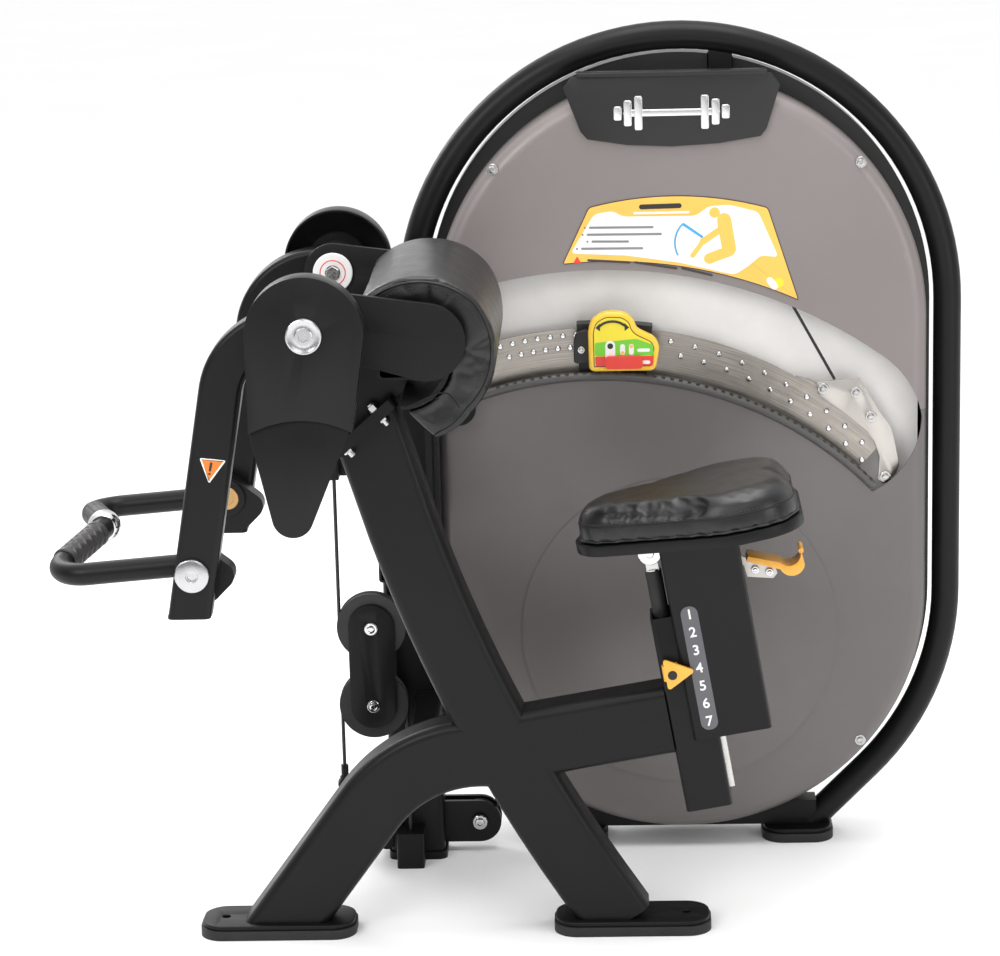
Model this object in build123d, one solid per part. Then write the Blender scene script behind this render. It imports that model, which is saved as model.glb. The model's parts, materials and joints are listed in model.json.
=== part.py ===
"""Selectorised preacher curl machine, as an assembly of separate pieces.

Millimetres. X runs along the machine, from the handles (-X) to the seat (+X).
Y runs across it, from the front frame's side to the weight tower. Z is up and
the floor is Z = 0. The drawing's own origin is on the front frame's centre
plane, and every piece is saved about the middle of the machine's footprint.
"""
import os
from math import acos, atan2, cos, hypot, radians, sin, tan

from build123d import *

# Driving dimensions -------------------------------------------------------
FOOTPRINT_CENTRE = (38.85, 89.0)          # drawing X, Y of the saved origin

PIVOT = (-277.0, 1080.0)                 # elbow pivot, X and Z
HAND = (-469.0, 697.0)                   # handle hinge, X and Z
EAR_Y = 205.0                            # inner face of the pivot ears
EAR_THICK = 10.0
ARM_Y = 240.0                            # inner face of the swing arms
ARM_DEPTH = 50.0
ARM_WIDTH = 66.0
ARM_END = 626.0                          # height of the arms' cut lower ends
COVER_Y = 298.0                          # open edge of the pivot covers
COVER_DEPTH = 42.0
AXLE_R = 12.5
RUNNING = 0.05                           # radial clearance of a running fit

FRAME_W = 115.0                          # wide face of the frame tube
FRAME_D = 76.0                           # its depth along Y
WALL = 4.0
JOINT_SLOPE = 41.4                       # degrees, of the bolted joint under the pad
FOOT_PLATE = 8.0
FOOT_PAD = 16.0
FOOT_TOP = FOOT_PLATE + FOOT_PAD

SEAT_BASE = (333.0, 217.0)               # bottom centre of the seat mast
SEAT_LEAN = 9.6                          # degrees, top towards the handles
SEAT_PITCH = 30.0
SEAT_STOPS = 7
LOCK_HEIGHT = 215.0                      # lock pin above the mast's bottom

AXIS_X = 300.0                           # centre line of the weight tower
LOOP_Y = 446.0
LOOP_R = 24.0
LOOP_HALF = 488.0                        # outer half width of the loop
LOOP_TOP = 1460.0
LOOP_LOW_CENTRE = 454.0
BEAM_Z = FOOT_TOP + 22.0                  # middle of the base beam

SHROUD_HALF = 424.0
SHROUD_TOP_CENTRE = 950.0
SHROUD_LOW_CENTRE = 458.0
SHROUD_FRONT = 374.0
SHROUD_SPLIT = 452.0
SHROUD_BACK = 524.0
BACK_HALF = 434.0
BACK_TOP_CENTRE = 972.0
SHELL = 4.0

ARC_CENTRE = (156.0, 200.0)              # centre of the lever's arc
ARC_OUTER = 740.0
ARC_INNER = 604.0
LIP_R = 652.0
LEVER_Y = 400.0
LEVER_THICK = 6.0
LEVER_PIVOT = (-82.0, 812.0)
SELECTOR_ANGLE = 4.0                     # from straight up, towards +X
ROD_PIN_R = 640.0

CABLE_Y = 302.0
CABLE_R = 3.2
CABLE_X = -297.0
CAM_R = 45.0
PULLEY_R = 60.0
GROOVE_R = PULLEY_R - 4.0
PULLEY_WIDE = 22.0
BLOCK_X = CABLE_X + GROOVE_R
BLOCK_Z = (440.0, 300.0)

POST = (-222.0, -127.0, 330.0, 406.0)    # tower post, low and high X and Y
POST_TOP = 890.0
BASE_PULLEY = (-65.0, 56.0)
CORNER_PULLEY = (-5.0, 1130.0)
TOP_PULLEY = (376.0, 1130.0)
SMALL_R = 34.0                           # the tower pulleys' outer radius
SMALL_TURN = 30.0                        # the cable's radius on them
TOWER_CABLE_Y = 386.0
LEVER_EYE = (566.0, 845.0)               # where the cable meets the lever's end


# Helpers --------------------------------------------------------------------
def xz(x, z, y=0.0):
    """A point from its X and Z."""
    return Vector(x, y, z)


def side_plane(y):
    """The XZ plane at depth y, drawn with X to the right and Z up."""
    return Plane(origin=(0, y, 0), x_dir=(1, 0, 0), z_dir=(0, -1, 0))


def slab(sketch, y_low, y_high):
    """A sketch drawn in X and Z, made solid between two depths."""
    return extrude(side_plane(y_high) * sketch, amount=y_high - y_low, dir=(0, -1, 0))


def disc(x, z, radius, y_low, y_high):
    """A round piece whose axis runs along Y."""
    return slab(Pos(x, z) * Circle(radius), y_low, y_high)


def ring(x, z, outer, inner, y_low, y_high):
    """A round piece with a hole along Y."""
    return disc(x, z, outer, y_low, y_high) - disc(x, z, inner, y_low - 1, y_high + 1)


def block(x_low, x_high, y_low, y_high, z_low, z_high, radius=0.0):
    """A box from its two corners, with its edges along Z rounded."""
    size = RectangleRounded(x_high - x_low, y_high - y_low, radius) if radius else Rectangle(
        x_high - x_low, y_high - y_low)
    middle = Pos((x_low + x_high) / 2, (y_low + y_high) / 2, z_low)
    return extrude(middle * size, amount=z_high - z_low)


def swept_tube(path, wide, deep, radius, wall=0.0):
    """A rectangular tube along a path that lies in an XZ plane."""
    start = Plane(origin=path @ 0, x_dir=(0, 1, 0), z_dir=path % 0)
    section = start * RectangleRounded(deep, wide, radius)
    if wall:
        section -= start * RectangleRounded(deep - 2 * wall, wide - 2 * wall, radius - wall)
    return sweep(section, path=path)


def round_bar(path, radius):
    """A round bar or tube along a path."""
    start = Plane(origin=path @ 0, z_dir=path % 0)
    return sweep(start * Circle(radius), path=path)


def oval(half, top, low):
    """An upright oval outline about the tower's centre line."""
    sides = Pos(AXIS_X, (top + low) / 2) * Rectangle(2 * half, top - low)
    return sides + Pos(AXIS_X, top) * Circle(half) + Pos(AXIS_X, low) * Circle(half)


def seat_frame():
    """The leaning frame of the seat: Z along the mast, X across it."""
    return Pos(SEAT_BASE[0], 0, SEAT_BASE[1]) * Rot(0, -SEAT_LEAN, 0)


def on_arc(radius, angle):
    """A point about the lever arc's centre, with the angle from straight up."""
    a = radians(angle)
    return ARC_CENTRE[0] + radius * sin(a), ARC_CENTRE[1] + radius * cos(a)


def arc_band(outer, inner, low, high):
    """A band about the lever arc's centre, between two angles from straight up."""
    def at(radius, angle):
        return on_arc(radius, angle)
    middle = (low + high) / 2
    outline = [
        ThreePointArc(at(outer, low), at(outer, middle), at(outer, high)),
        Line(at(outer, high), at(inner, high)),
        ThreePointArc(at(inner, high), at(inner, middle), at(inner, low)),
        Line(at(inner, low), at(outer, low)),
    ]
    return make_face(Curve() + outline)


# Front frame ----------------------------------------------------------------
def upright_path():
    """The main upright, bowed gently from the right foot to the pad."""
    return Line(xz(183, 14), xz(134, 88)) + ThreePointArc(
        xz(134, 88), xz(-35, 388), xz(-160, 700)) + Line(xz(-160, 700), xz(-240, 961))


def leg_path():
    """The left leg, which rises from its foot and bends level into the upright."""
    foot, bend, end = xz(-397, -10), xz(-140, 340), xz(20, 305)
    return FilletPolyline(foot, bend, end, radius=230)


def joint_frame():
    """The frame of the sloping joint plates, X along the slope."""
    return Pos(-212, 0, 862) * Rot(0, -JOINT_SLOPE, 0)


def upright_top_cut():
    """The half space above the sloping joint plate."""
    return joint_frame() * Pos(0, 0, 200) * Box(500, 200, 400)


def joint_plate(low, high, half_y=62.0):
    """A plate on the sloping joint between the upright and the yoke."""
    frame = joint_frame()
    plate = frame * Pos(0, 0, low) * extrude(RectangleRounded(148, 2 * half_y, 10), high - low)
    for x in (-38, 38):
        for y in (-48, 48):
            plate -= frame * Pos(x, y, 0) * Cylinder(6.5, 60)
    return plate


def floor_cut():
    """Everything below the top face of the foot plates."""
    return Pos(0, 0, FOOT_TOP - 200) * Box(3000, 1500, 400)


def upright():
    path = upright_path()
    tube = swept_tube(path, FRAME_W, FRAME_D, 16, WALL)
    tube -= floor_cut()
    tube -= upright_top_cut()
    return tube + joint_plate(0, 9)


def upright_solid():
    return swept_tube(upright_path(), FRAME_W, FRAME_D, 16)


def front_leg():
    tube = swept_tube(leg_path(), FRAME_W, FRAME_D, 16, WALL)
    tube -= floor_cut()
    tube -= upright_solid()
    return largest(tube)


def seat_tube():
    path = Line(xz(0, 322), xz(330, 322 + 330 * tan(radians(SEAT_LEAN))))
    tube = swept_tube(path, FRAME_W, FRAME_D, 16, WALL)
    tube -= upright_solid()
    tube -= seat_frame() * Pos(200 - 38.5, 0, 165) * Box(400, 200, 900)
    return largest(tube)


def largest(shape):
    """The biggest solid of a cut, without its offcuts."""
    return max(shape.solids(), key=lambda piece: piece.volume)


FRONT_FEET = ((-516.0, -261.0), (76.0, 331.0))
TOWER_FEET = ((2 * AXIS_X - 562, 2 * AXIS_X - 441), (441.0, 562.0))
ANCHOR_INSET = 38.0


def foot_prints():
    """Each foot's centre, length, depth and anchor hole."""
    prints = []
    for index, (low, high) in enumerate(FRONT_FEET):
        hole = low + ANCHOR_INSET if index == 0 else high - ANCHOR_INSET
        prints.append(((low + high) / 2, 0.0, high - low, 100.0, hole))
    for low, high in TOWER_FEET:
        prints.append(((low + high) / 2, LOOP_Y, high - low, 110.0, None))
    return prints


def foot_layer(z_low, z_high, grow, hole_r):
    """One layer of every foot: the steel plates or the rubber pads."""
    layer = []
    for x, y, length, depth, hole in foot_prints():
        size = RectangleRounded(length + 2 * grow, depth + 2 * grow, 38)
        piece = extrude(Pos(x, y, z_low) * size, z_high - z_low)
        if hole is not None:
            piece -= Pos(hole, y, z_low) * Cylinder(hole_r, 80)
        layer.append(piece)
    return Compound(children=layer)


# Yoke and pad ---------------------------------------------------------------
def yoke():
    """The cross beam under the pad, its riser and the sloping joint plate."""
    beam = slab(Pos(-140, 1012) * RectangleRounded(76, 60, 8), -EAR_Y, EAR_Y)
    beam -= slab(Pos(-140, 1012) * RectangleRounded(68, 52, 5), -EAR_Y - 1, EAR_Y + 1)
    riser = slab(Polygon((-258, 824), (-163, 908), (-120, 984), (-177, 984), (-177, 1008),
                         (-258, 1008), align=None), -38, 38)
    riser -= slab(Polygon((-252, 845), (-172, 914), (-134, 978), (-183, 984), (-183, 1002),
                          (-252, 1002), align=None), -33, 33)
    riser -= joint_slice()
    return beam + riser + joint_plate(9, 18)


def joint_slice():
    """The room that both joint plates take up, cut from the riser."""
    return joint_frame() * Pos(0, 0, -91) * Box(400, 160, 200)


def joint_bolts():
    """Four bolts with nuts through the sloping joint."""
    frame = joint_frame()
    bolts = []
    for x in (-38, 38):
        for y in (-48, 48):
            bolt = Pos(x, y, 9) * Cylinder(6, 44)
            bolt += Pos(x, y, -4) * extrude(RegularPolygon(10.5, 6), 4)
            bolt += Pos(x, y, 18) * extrude(RegularPolygon(10.5, 6), 10)
            bolts.append(frame * bolt)
    return Compound(children=bolts)


def ear_outline(inset=0.0):
    """The tongue that joins the pivot to the pad, rounded at both ends."""
    circles = Pos(*PIVOT) * Circle(48 - inset) + Pos(-101, 1042) * Circle(61 - inset)
    return make_hull(circles.edges())


def pivot_ears():
    """The two ears, one at each end of the yoke beam."""
    ears = []
    for side in (-1, 1):
        low, high = sorted((side * EAR_Y, side * (EAR_Y + EAR_THICK)))
        ear = slab(ear_outline(), low, high)
        ear -= disc(*PIVOT, AXLE_R, low - 1, high + 1)
        ears.append(ear)
    return Compound(children=ears)


def pad_inner(offset):
    """The pad's inner boundary, moved inward by an offset."""
    start, middle, end, tail = (-140, 930), (-64, 1006), (-112, 1082), (-207, 1056)
    return [
        ThreePointArc(
            (start[0] - offset * 0.8, start[1] + offset * 0.6),
            (middle[0] - offset, middle[1]),
            (end[0], end[1] - offset)),
        Line((end[0], end[1] - offset), (tail[0], tail[1] - offset)),
    ]


def elbow_pad():
    """The upholstered pad: a thick curl of foam over its board."""
    outline = pad_inner(0) + [
        Line((-207, 1056), (-207, 1098)),
        ThreePointArc((-207, 1098), (-107, 1139), (-20, 1101)),
        ThreePointArc((-20, 1101), (6, 1030), (-36, 926)),
        ThreePointArc((-36, 926), (-62, 898), (-97, 883)),
        Line((-97, 883), (-140, 930)),
    ]
    return slab(make_face(Curve() + outline), -190, 190)


def pad_board():
    """The curved board under the pad, with two brackets to the beam."""
    outer, inner = pad_inner(0.3), pad_inner(9)
    board = make_face(Curve() + outer + inner + [
        Line(outer[0] @ 0, inner[0] @ 0), Line(outer[1] @ 1, inner[1] @ 1)])
    shape = slab(board, -184, 184)
    bracket = Polygon((-102, 990), (-76, 990), (-76, 1034), (-102, 1034), align=None)
    for y in (-120, 120):
        shape += slab(bracket, y - 4, y + 4)
    return shape - slab(Pos(-140, 1012) * Rectangle(76, 60), -300, 300)


def cover_outline(grow=0.0):
    """The cover: a round top about the pivot, straight sides, hollow bottom edge."""
    radius = 90 + grow
    x, z = PIVOT
    sides = [
        ThreePointArc((x - radius, z), (x, z + radius), (x + radius, z)),
        Line((x + radius, z), (x + 68 + grow, z - 150)),
        ThreePointArc((x + 68 + grow, z - 150), (x - 10, z - 130), (x - 90 - grow, z - 150)),
        Line((x - 90 - grow, z - 150), (x - radius, z)),
    ]
    return make_face(Curve() + sides)


def pivot_covers():
    """The two moulded covers outside the arms, open towards the arms."""
    covers = []
    for side in (-1, 1):
        outer_low, outer_high = sorted((side * COVER_Y, side * (COVER_Y + COVER_DEPTH)))
        inner_low, inner_high = sorted((side * (COVER_Y - 2), side * (COVER_Y + COVER_DEPTH - SHELL)))
        shell = slab(cover_outline(), outer_low, outer_high)
        shell -= slab(cover_outline(-SHELL), inner_low, inner_high)
        gap = block(PIVOT[0] - 70, PIVOT[0] + 50, inner_low, inner_high, 900, 960)
        shell -= gap
        shell -= disc(*PIVOT, AXLE_R - 4, outer_low - 1, outer_high + 1)
        covers.append(shell)
    return Compound(children=covers)


def cable_guard():
    """The tapering guard that hangs below the near cover."""
    top_left, top_right, low = (-366, 931), (-214, 931), (-305, 797)
    hanging = make_hull(
        (Polygon(top_left, (-366, 925), (-218, 925), top_right, align=None)
         + Pos(*low) * Circle(32)).edges())
    crown = Polygon((-364, 930), (-216, 930), (-222, 952), (-358, 952), align=None)
    outline = hanging + crown - cover_outline(0.4)
    guard = slab(outline, -332, -300) + block(-320, -240, -312, -300, 920, PIVOT[1])
    guard += disc(*PIVOT, 30, -312, -300)
    return guard - disc(*PIVOT, AXLE_R, -340, -290)


def pivot_axles():
    """The two fixed stub axles of the swing arms."""
    axles = []
    for side in (-1, 1):
        low, high = sorted((side * (EAR_Y - 2), side * (COVER_Y + COVER_DEPTH - SHELL)))
        axle = disc(*PIVOT, AXLE_R, low, high)
        low, high = sorted((side * (COVER_Y + COVER_DEPTH - SHELL), side * (COVER_Y + COVER_DEPTH)))
        axle += disc(*PIVOT, AXLE_R - 4, low, high)
        axles.append(axle)
    return Compound(children=axles)


def pivot_caps():
    """Round caps on the axles: outside the covers and on the ears' inner faces."""
    caps = []
    for side in (-1, 1):
        face = side * (COVER_Y + COVER_DEPTH)
        low, high = sorted((face, face + side * 6))
        cap = disc(*PIVOT, 28, low, high)
        socket = sorted((face + side * 3, face + side * 7))
        cap -= slab(Pos(*PIVOT) * RegularPolygon(7, 6), *socket)
        caps.append(cap)
        low, high = sorted((side * EAR_Y, side * (EAR_Y - 6)))
        axle_room = sorted((side * COVER_Y, side * (EAR_Y - 2)))
        caps.append(disc(*PIVOT, 33, low, high) - disc(*PIVOT, AXLE_R, *axle_room))
    return Compound(children=caps)


# Swing arms and handle ------------------------------------------------------
def arm_path(y):
    return FilletPolyline(
        xz(PIVOT[0], PIVOT[1], y), xz(-398, 1076, y), xz(-480, 612, y), radius=112)


def arm(side):
    """One swing arm: a bent tube with a hub, a handle eye and an end cap."""
    low, high = sorted((side * ARM_Y, side * (ARM_Y + ARM_DEPTH)))
    middle = (low + high) / 2
    tube = swept_tube(arm_path(middle), ARM_WIDTH, ARM_DEPTH, 10, WALL)
    tube -= slab(Rectangle(2000, 2 * ARM_END), -400, 400)
    tube += block(-511, -446, low + 0.5, high - 0.5, ARM_END, ARM_END + 5, 9)
    hub = disc(*PIVOT, 40, low, high)
    tube = (tube - hub) + hub
    tube -= disc(*PIVOT, AXLE_R + 5, low - 1, high + 1)
    eye = disc(*HAND, 18, low + 2, high - 2)
    tube += eye
    tube -= disc(*HAND, 8, low - 1, high + 1)
    return tube


def arm_bushes():
    """Bearing bushes pressed into the arm hubs."""
    bushes = []
    for side in (-1, 1):
        low, high = sorted((side * (ARM_Y - 4), side * (ARM_Y + ARM_DEPTH)))
        bush = ring(*PIVOT, AXLE_R + 5, AXLE_R + RUNNING, low, high)
        bushes.append(bush)
    return Compound(children=bushes)


def cam():
    """The grooved cam on the far arm that winds the cable in."""
    low = ARM_Y + ARM_DEPTH
    wheel = disc(*PIVOT, CAM_R + 6, low, low + 6)
    wheel += disc(*PIVOT, CAM_R - CABLE_R, low + 6, low + 18)
    wheel += disc(*PIVOT, CAM_R + 6, low + 18, low + 22)
    return wheel - disc(*PIVOT, AXLE_R + RUNNING, low - 1, low + 23)


def handle_pins():
    """The two pins of the handle, each with a round cap outside its arm."""
    pins = []
    for side in (-1, 1):
        outer = side * (ARM_Y + ARM_DEPTH)
        pin = disc(*HAND, 8, *sorted((side * (ARM_Y - 34), outer)))
        pin += disc(*HAND, 27, *sorted((outer, outer + side * 7)))
        socket = sorted((outer + side * 4, outer + side * 8))
        pin -= slab(Pos(*HAND) * RegularPolygon(7, 6), *socket)
        pins.append(pin)
    return Compound(children=pins)


HANDLE_Y = 220.0
HANDLE_R = 18.0
GRIP_R = 20.0
HANDLE_END = (-708.8, 678.0)
HANDLE_TIP = (-643.0, 706.0)


def handle_path():
    x, z = HAND
    return FilletPolyline(
        xz(x, z, -HANDLE_Y), xz(*HANDLE_END, -HANDLE_Y), xz(*HANDLE_TIP, 0),
        xz(*HANDLE_END, HANDLE_Y), xz(x, z, HANDLE_Y), radius=48)


def handle_tube():
    """The bent handle with an eye at each end."""
    tube = round_bar(handle_path(), HANDLE_R)
    lug = Pos(*HAND) * Circle(33) + Pos(-432, 682) * Circle(22) + Pos(-450, 657) * Circle(17)
    lug = make_hull(lug.edges())
    for side in (-1, 1):
        low, high = sorted((side * (HANDLE_Y - 16), side * (HANDLE_Y + 19)))
        tube += slab(lug, low, high)
        tube -= disc(*HAND, 8 + RUNNING, low - 1, high + 1)
    return tube


def grip_line(near, far):
    """A point along each half of the handle's cross bar, as a fraction from the tip."""
    return [
        xz(HANDLE_TIP[0] + (HANDLE_END[0] - HANDLE_TIP[0]) * f,
           HANDLE_TIP[1] + (HANDLE_END[1] - HANDLE_TIP[1]) * f, HANDLE_Y * f * side)
        for side in (-1, 1) for f in (near, far)]


def hand_grips():
    """The two rubber hand grips, one on each half of the cross bar."""
    grips = []
    points = grip_line(0.17, 0.70)
    for start, end in (points[:2], points[2:]):
        length = (end - start).length
        frame = Plane(origin=start, z_dir=end - start)
        outer = frame * extrude(Circle(GRIP_R + 1.5), length)
        grips.append(outer - round_bar(handle_path(), HANDLE_R))
    return Compound(children=grips)


def grip_collar():
    """The bright ball collar at the tip between the grips."""
    ball = Pos(HANDLE_TIP[0] - 5, 0, HANDLE_TIP[1] - 2) * Sphere(27)
    ball &= Pos(HANDLE_TIP[0] - 5, 0, HANDLE_TIP[1] - 2) * Box(80, 34, 80)
    return ball - round_bar(handle_path(), HANDLE_R)


# Links and tower frame ------------------------------------------------------
def cross_links():
    """The two short tubes between the front frame and the tower post."""
    links = []
    for x_low, x_high, z_low, z_high in ((-205, -145, 590, 650), (-168, -122, 252, 312)):
        size = Pos((x_low + x_high) / 2, (z_low + z_high) / 2)
        wide, tall = x_high - x_low, z_high - z_low
        link = slab(size * RectangleRounded(wide, tall, 6), FRAME_D / 2, POST[2])
        link -= slab(size * RectangleRounded(wide - 8, tall - 8, 3), 0, POST[2] + 1)
        links.append(link)
    return Compound(children=links)


def near_post():
    """The tower's front post with the brackets welded to it."""
    x_low, x_high, y_low, y_high = POST
    post = block(x_low, x_high, y_low, y_high, 6, POST_TOP, 14)
    post -= block(x_low + WALL, x_high - WALL, y_low + WALL, y_high - WALL, 14, POST_TOP - 6, 10)
    post += block(x_low - 4, x_high + 4, y_low - 4, y_high + 4, 0, 14, 16)
    for z in (260, 780):
        post += block(x_low + 20, x_high - 20, y_high - 3, LOOP_Y - 8, z, z + 60)
    post += block(-318, x_low + 3, y_low + 8, y_low + 16, 700, 752)
    pulley_x, pulley_z = BASE_PULLEY
    for y in (TOWER_CABLE_Y - 19, TOWER_CABLE_Y + 11):
        post += block(x_high - 3, pulley_x, y, y + 8, pulley_z - 38, pulley_z + 38)
        post += disc(*BASE_PULLEY, 38, y, y + 8)
    post += slab(Pos(x_low - 8, 56) * RectangleRounded(24, 76, 10), y_low + 2, y_high - 2)
    post += disc(*BASE_PULLEY, 8, TOWER_CABLE_Y - 19, TOWER_CABLE_Y + 19)
    post += disc(*BASE_PULLEY, 15, TOWER_CABLE_Y - 25, TOWER_CABLE_Y - 18)
    strand_x = CABLE_X + 2 * GROOVE_R
    housing = block(strand_x - 24, strand_x + 24, CABLE_Y - 22, y_low + 2, 0, 64, 6)
    post += housing - Pos(strand_x, CABLE_Y, 50) * Cylinder(6, 60)
    pivot_x, pivot_z = LEVER_PIVOT
    post += block(x_high - 3, pivot_x, y_low + 20, y_low + 32, pivot_z - 30, pivot_z + 30)
    post += disc(*LEVER_PIVOT, 30, y_low + 20, y_low + 32)
    post += disc(*LEVER_PIVOT, 10, y_low + 20, LEVER_Y + LEVER_THICK + 6)
    post -= solid_loop()
    return largest(post)


def loop_path():
    """The big loop: splayed legs, straight sides and a round top."""
    half = LOOP_HALF - LOOP_R
    top = LOOP_TOP - LOOP_HALF
    low = LOOP_LOW_CENTRE
    side, corner = AXIS_X + half, half * cos(radians(45))
    mid = half * sin(radians(22.5)), half * cos(radians(22.5))
    foot_z = FOOT_TOP
    run = low - corner - foot_z
    right_low = (AXIS_X + corner, low - corner)
    left_low = (AXIS_X - corner, low - corner)
    pieces = [
        Line(xz(right_low[0] - run, foot_z, LOOP_Y), xz(*right_low, LOOP_Y)),
        ThreePointArc(
            xz(*right_low, LOOP_Y), xz(AXIS_X + mid[1], low - mid[0], LOOP_Y), xz(side, low, LOOP_Y)),
        Line(xz(side, low, LOOP_Y), xz(side, top, LOOP_Y)),
        ThreePointArc(
            xz(side, top, LOOP_Y), xz(AXIS_X, top + half, LOOP_Y), xz(AXIS_X - half, top, LOOP_Y)),
        Line(xz(AXIS_X - half, top, LOOP_Y), xz(AXIS_X - half, low, LOOP_Y)),
        ThreePointArc(
            xz(AXIS_X - half, low, LOOP_Y), xz(AXIS_X - mid[1], low - mid[0], LOOP_Y),
            xz(*left_low, LOOP_Y)),
        Line(xz(*left_low, LOOP_Y), xz(left_low[0] + run, foot_z, LOOP_Y)),
    ]
    return Wire([piece.edge() for piece in pieces])


def solid_loop():
    return round_bar(loop_path(), LOOP_R)


def tower_loop():
    """The tower's bent tube loop, cut level on its feet, with its base beam."""
    return solid_loop() - floor_cut() + base_beam() + inner_upright()


def base_beam():
    """The low beam between the loop's two legs."""
    beam = Pos(AXIS_X, LOOP_Y, BEAM_Z) * Box(470, 44, 44)
    beam -= Pos(AXIS_X, LOOP_Y, BEAM_Z) * Box(480, 36, 36)
    return largest(beam - solid_loop())


def inner_upright():
    """The upright inside the casing, with the bar and axles of the two top pulleys."""
    x, z = TOP_PULLEY
    upright_bar = block(x - 20, x + 20, 440, 466, BEAM_Z + 21, LOOP_TOP - LOOP_R)
    bar = block(CORNER_PULLEY[0] - 20, x, 440, 452, z - 20, z + 20)
    axles = disc(*TOP_PULLEY, 8, 379, 441) + disc(*CORNER_PULLEY, 8, 379, 441)
    return upright_bar + bar + axles


def casing_gaps():
    """The slots that let the frame and the cable through the casing."""
    gaps = Pos(AXIS_X, LOOP_Y, BEAM_Z) * Box(500, 48, 48)
    gaps += block(TOP_PULLEY[0] - 22, TOP_PULLEY[0] + 22, 438, 468, 1300, 1500)
    pivot_x, pivot_z = LEVER_PIVOT
    gaps += block(pivot_x - 60, pivot_x - 28, POST[2], POST[2] + 60, pivot_z - 33, pivot_z + 33)
    gaps += disc(*LEVER_PIVOT, 14, SHROUD_FRONT - 1, SHROUD_FRONT + 10)
    cable_x = BASE_PULLEY[0] + SMALL_TURN
    gaps += block(cable_x - 7, cable_x + 7, TOWER_CABLE_Y - 12, TOWER_CABLE_Y + 7, 120, 300)
    return gaps


# Shrouds and tower trim -----------------------------------------------------
LIP_LOW, LIP_HIGH = -19.0, 46.7          # the lip's angles from straight up
WINDOW_LEFT = -58.0


def window():
    """The curved window between the upper shroud's edge and the lip."""
    right_low = on_arc(LIP_R, LIP_HIGH)
    left_low = on_arc(LIP_R, LIP_LOW)
    left_top = (WINDOW_LEFT, 1015)
    outline = [
        ThreePointArc(left_top, (182, 1045), (639, 893)),
        ThreePointArc((639, 893), (697, 832), (716, 777)),
        ThreePointArc((716, 777), (697, 710), (650, 658)),
        Line((650, 658), right_low),
        ThreePointArc(right_low, on_arc(LIP_R, (LIP_LOW + LIP_HIGH) / 2), left_low),
        Line(left_low, left_top),
    ]
    return make_face(Curve() + outline)


def front_shell():
    """Both front shrouds in one: a shell with a rounded rim and the window."""
    outer = oval(SHROUD_HALF, SHROUD_TOP_CENTRE, SHROUD_LOW_CENTRE)
    inner = oval(SHROUD_HALF - SHELL, SHROUD_TOP_CENTRE, SHROUD_LOW_CENTRE)
    body = slab(outer, SHROUD_FRONT, SHROUD_SPLIT)
    body = fillet(body.faces().sort_by(Axis.Y)[0].edges(), 26)
    core = slab(inner, SHROUD_FRONT + SHELL, SHROUD_SPLIT + 1)
    core = fillet(core.faces().sort_by(Axis.Y)[0].edges(), 22)
    return body - core - slab(window(), SHROUD_FRONT - 1, SHROUD_FRONT + 40) - casing_gaps()


def above_split(gap):
    """The side of the parting line that the upper shroud lies on."""
    left = block(-300, 600, 300, 600, 900 + gap, 1700)
    return left + block(600, 900, 300, 600, 790 + gap, 1700)


def upper_shroud():
    """The front shroud above the window, with a dished seat for the header."""
    return largest(front_shell() & above_split(0.3))


def lower_shroud():
    """The front shroud below the window, with a raised round boss."""
    shell = largest(front_shell() - above_split(-0.3))
    return shell + disc(294, 402, 276, SHROUD_FRONT - 2, SHROUD_FRONT + 1)


def window_lip():
    """The dark bead along the lower shroud's window edge."""
    low, high = LIP_LOW + 1.5, LIP_HIGH - 0.7
    path = ThreePointArc(
        xz(*on_arc(LIP_R + 8.3, low), SHROUD_FRONT),
        xz(*on_arc(LIP_R + 8.3, (low + high) / 2), SHROUD_FRONT),
        xz(*on_arc(LIP_R + 8.3, high), SHROUD_FRONT))
    bead = round_bar(path, 8)
    return bead + arc_slab(LIP_R + 8.3, LIP_R + 0.2, low, high, SHROUD_FRONT, SHROUD_FRONT + 5)


def arc_slab(outer, inner, low, high, y_low, y_high):
    return slab(arc_band(outer, inner, low, high), y_low, y_high)


def back_shroud():
    """The dark rear half of the casing, which fills the loop behind the front shrouds."""
    body = slab(oval(BACK_HALF, BACK_TOP_CENTRE, SHROUD_LOW_CENTRE), SHROUD_SPLIT + 0.3, SHROUD_BACK)
    body = fillet(body.faces().sort_by(Axis.Y)[-1].edges(), 26)
    inner = oval(BACK_HALF - SHELL, BACK_TOP_CENTRE, SHROUD_LOW_CENTRE)
    core = slab(inner, SHROUD_SPLIT + SHELL, SHROUD_BACK - SHELL)
    core = fillet(core.faces().sort_by(Axis.Y)[-1].edges(), 22)
    mouth = oval(SHROUD_HALF - SHELL, SHROUD_TOP_CENTRE, SHROUD_LOW_CENTRE)
    return body - core - slab(mouth, SHROUD_SPLIT, SHROUD_SPLIT + 10) - casing_gaps()


def header_plate():
    """The charcoal plate at the top of the tower, with its flange."""
    outline = Polygon((109, 1357), (123, 1377), (459, 1377), (474, 1357), (451, 1284), (441, 1271),
                      (370, 1260), (290, 1256), (215, 1260), (148, 1271), (137, 1284), align=None)
    outline = fillet(outline.vertices(), 5)
    plate = slab(outline, SHROUD_FRONT - 8, SHROUD_FRONT - 0.2)
    flange = block(131, 452, SHROUD_FRONT - 14, SHROUD_FRONT + 20, 1376, 1383)
    shell = slab(oval(SHROUD_HALF, SHROUD_TOP_CENTRE, SHROUD_LOW_CENTRE), 300, 600)
    return plate + (flange - shell)


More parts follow.
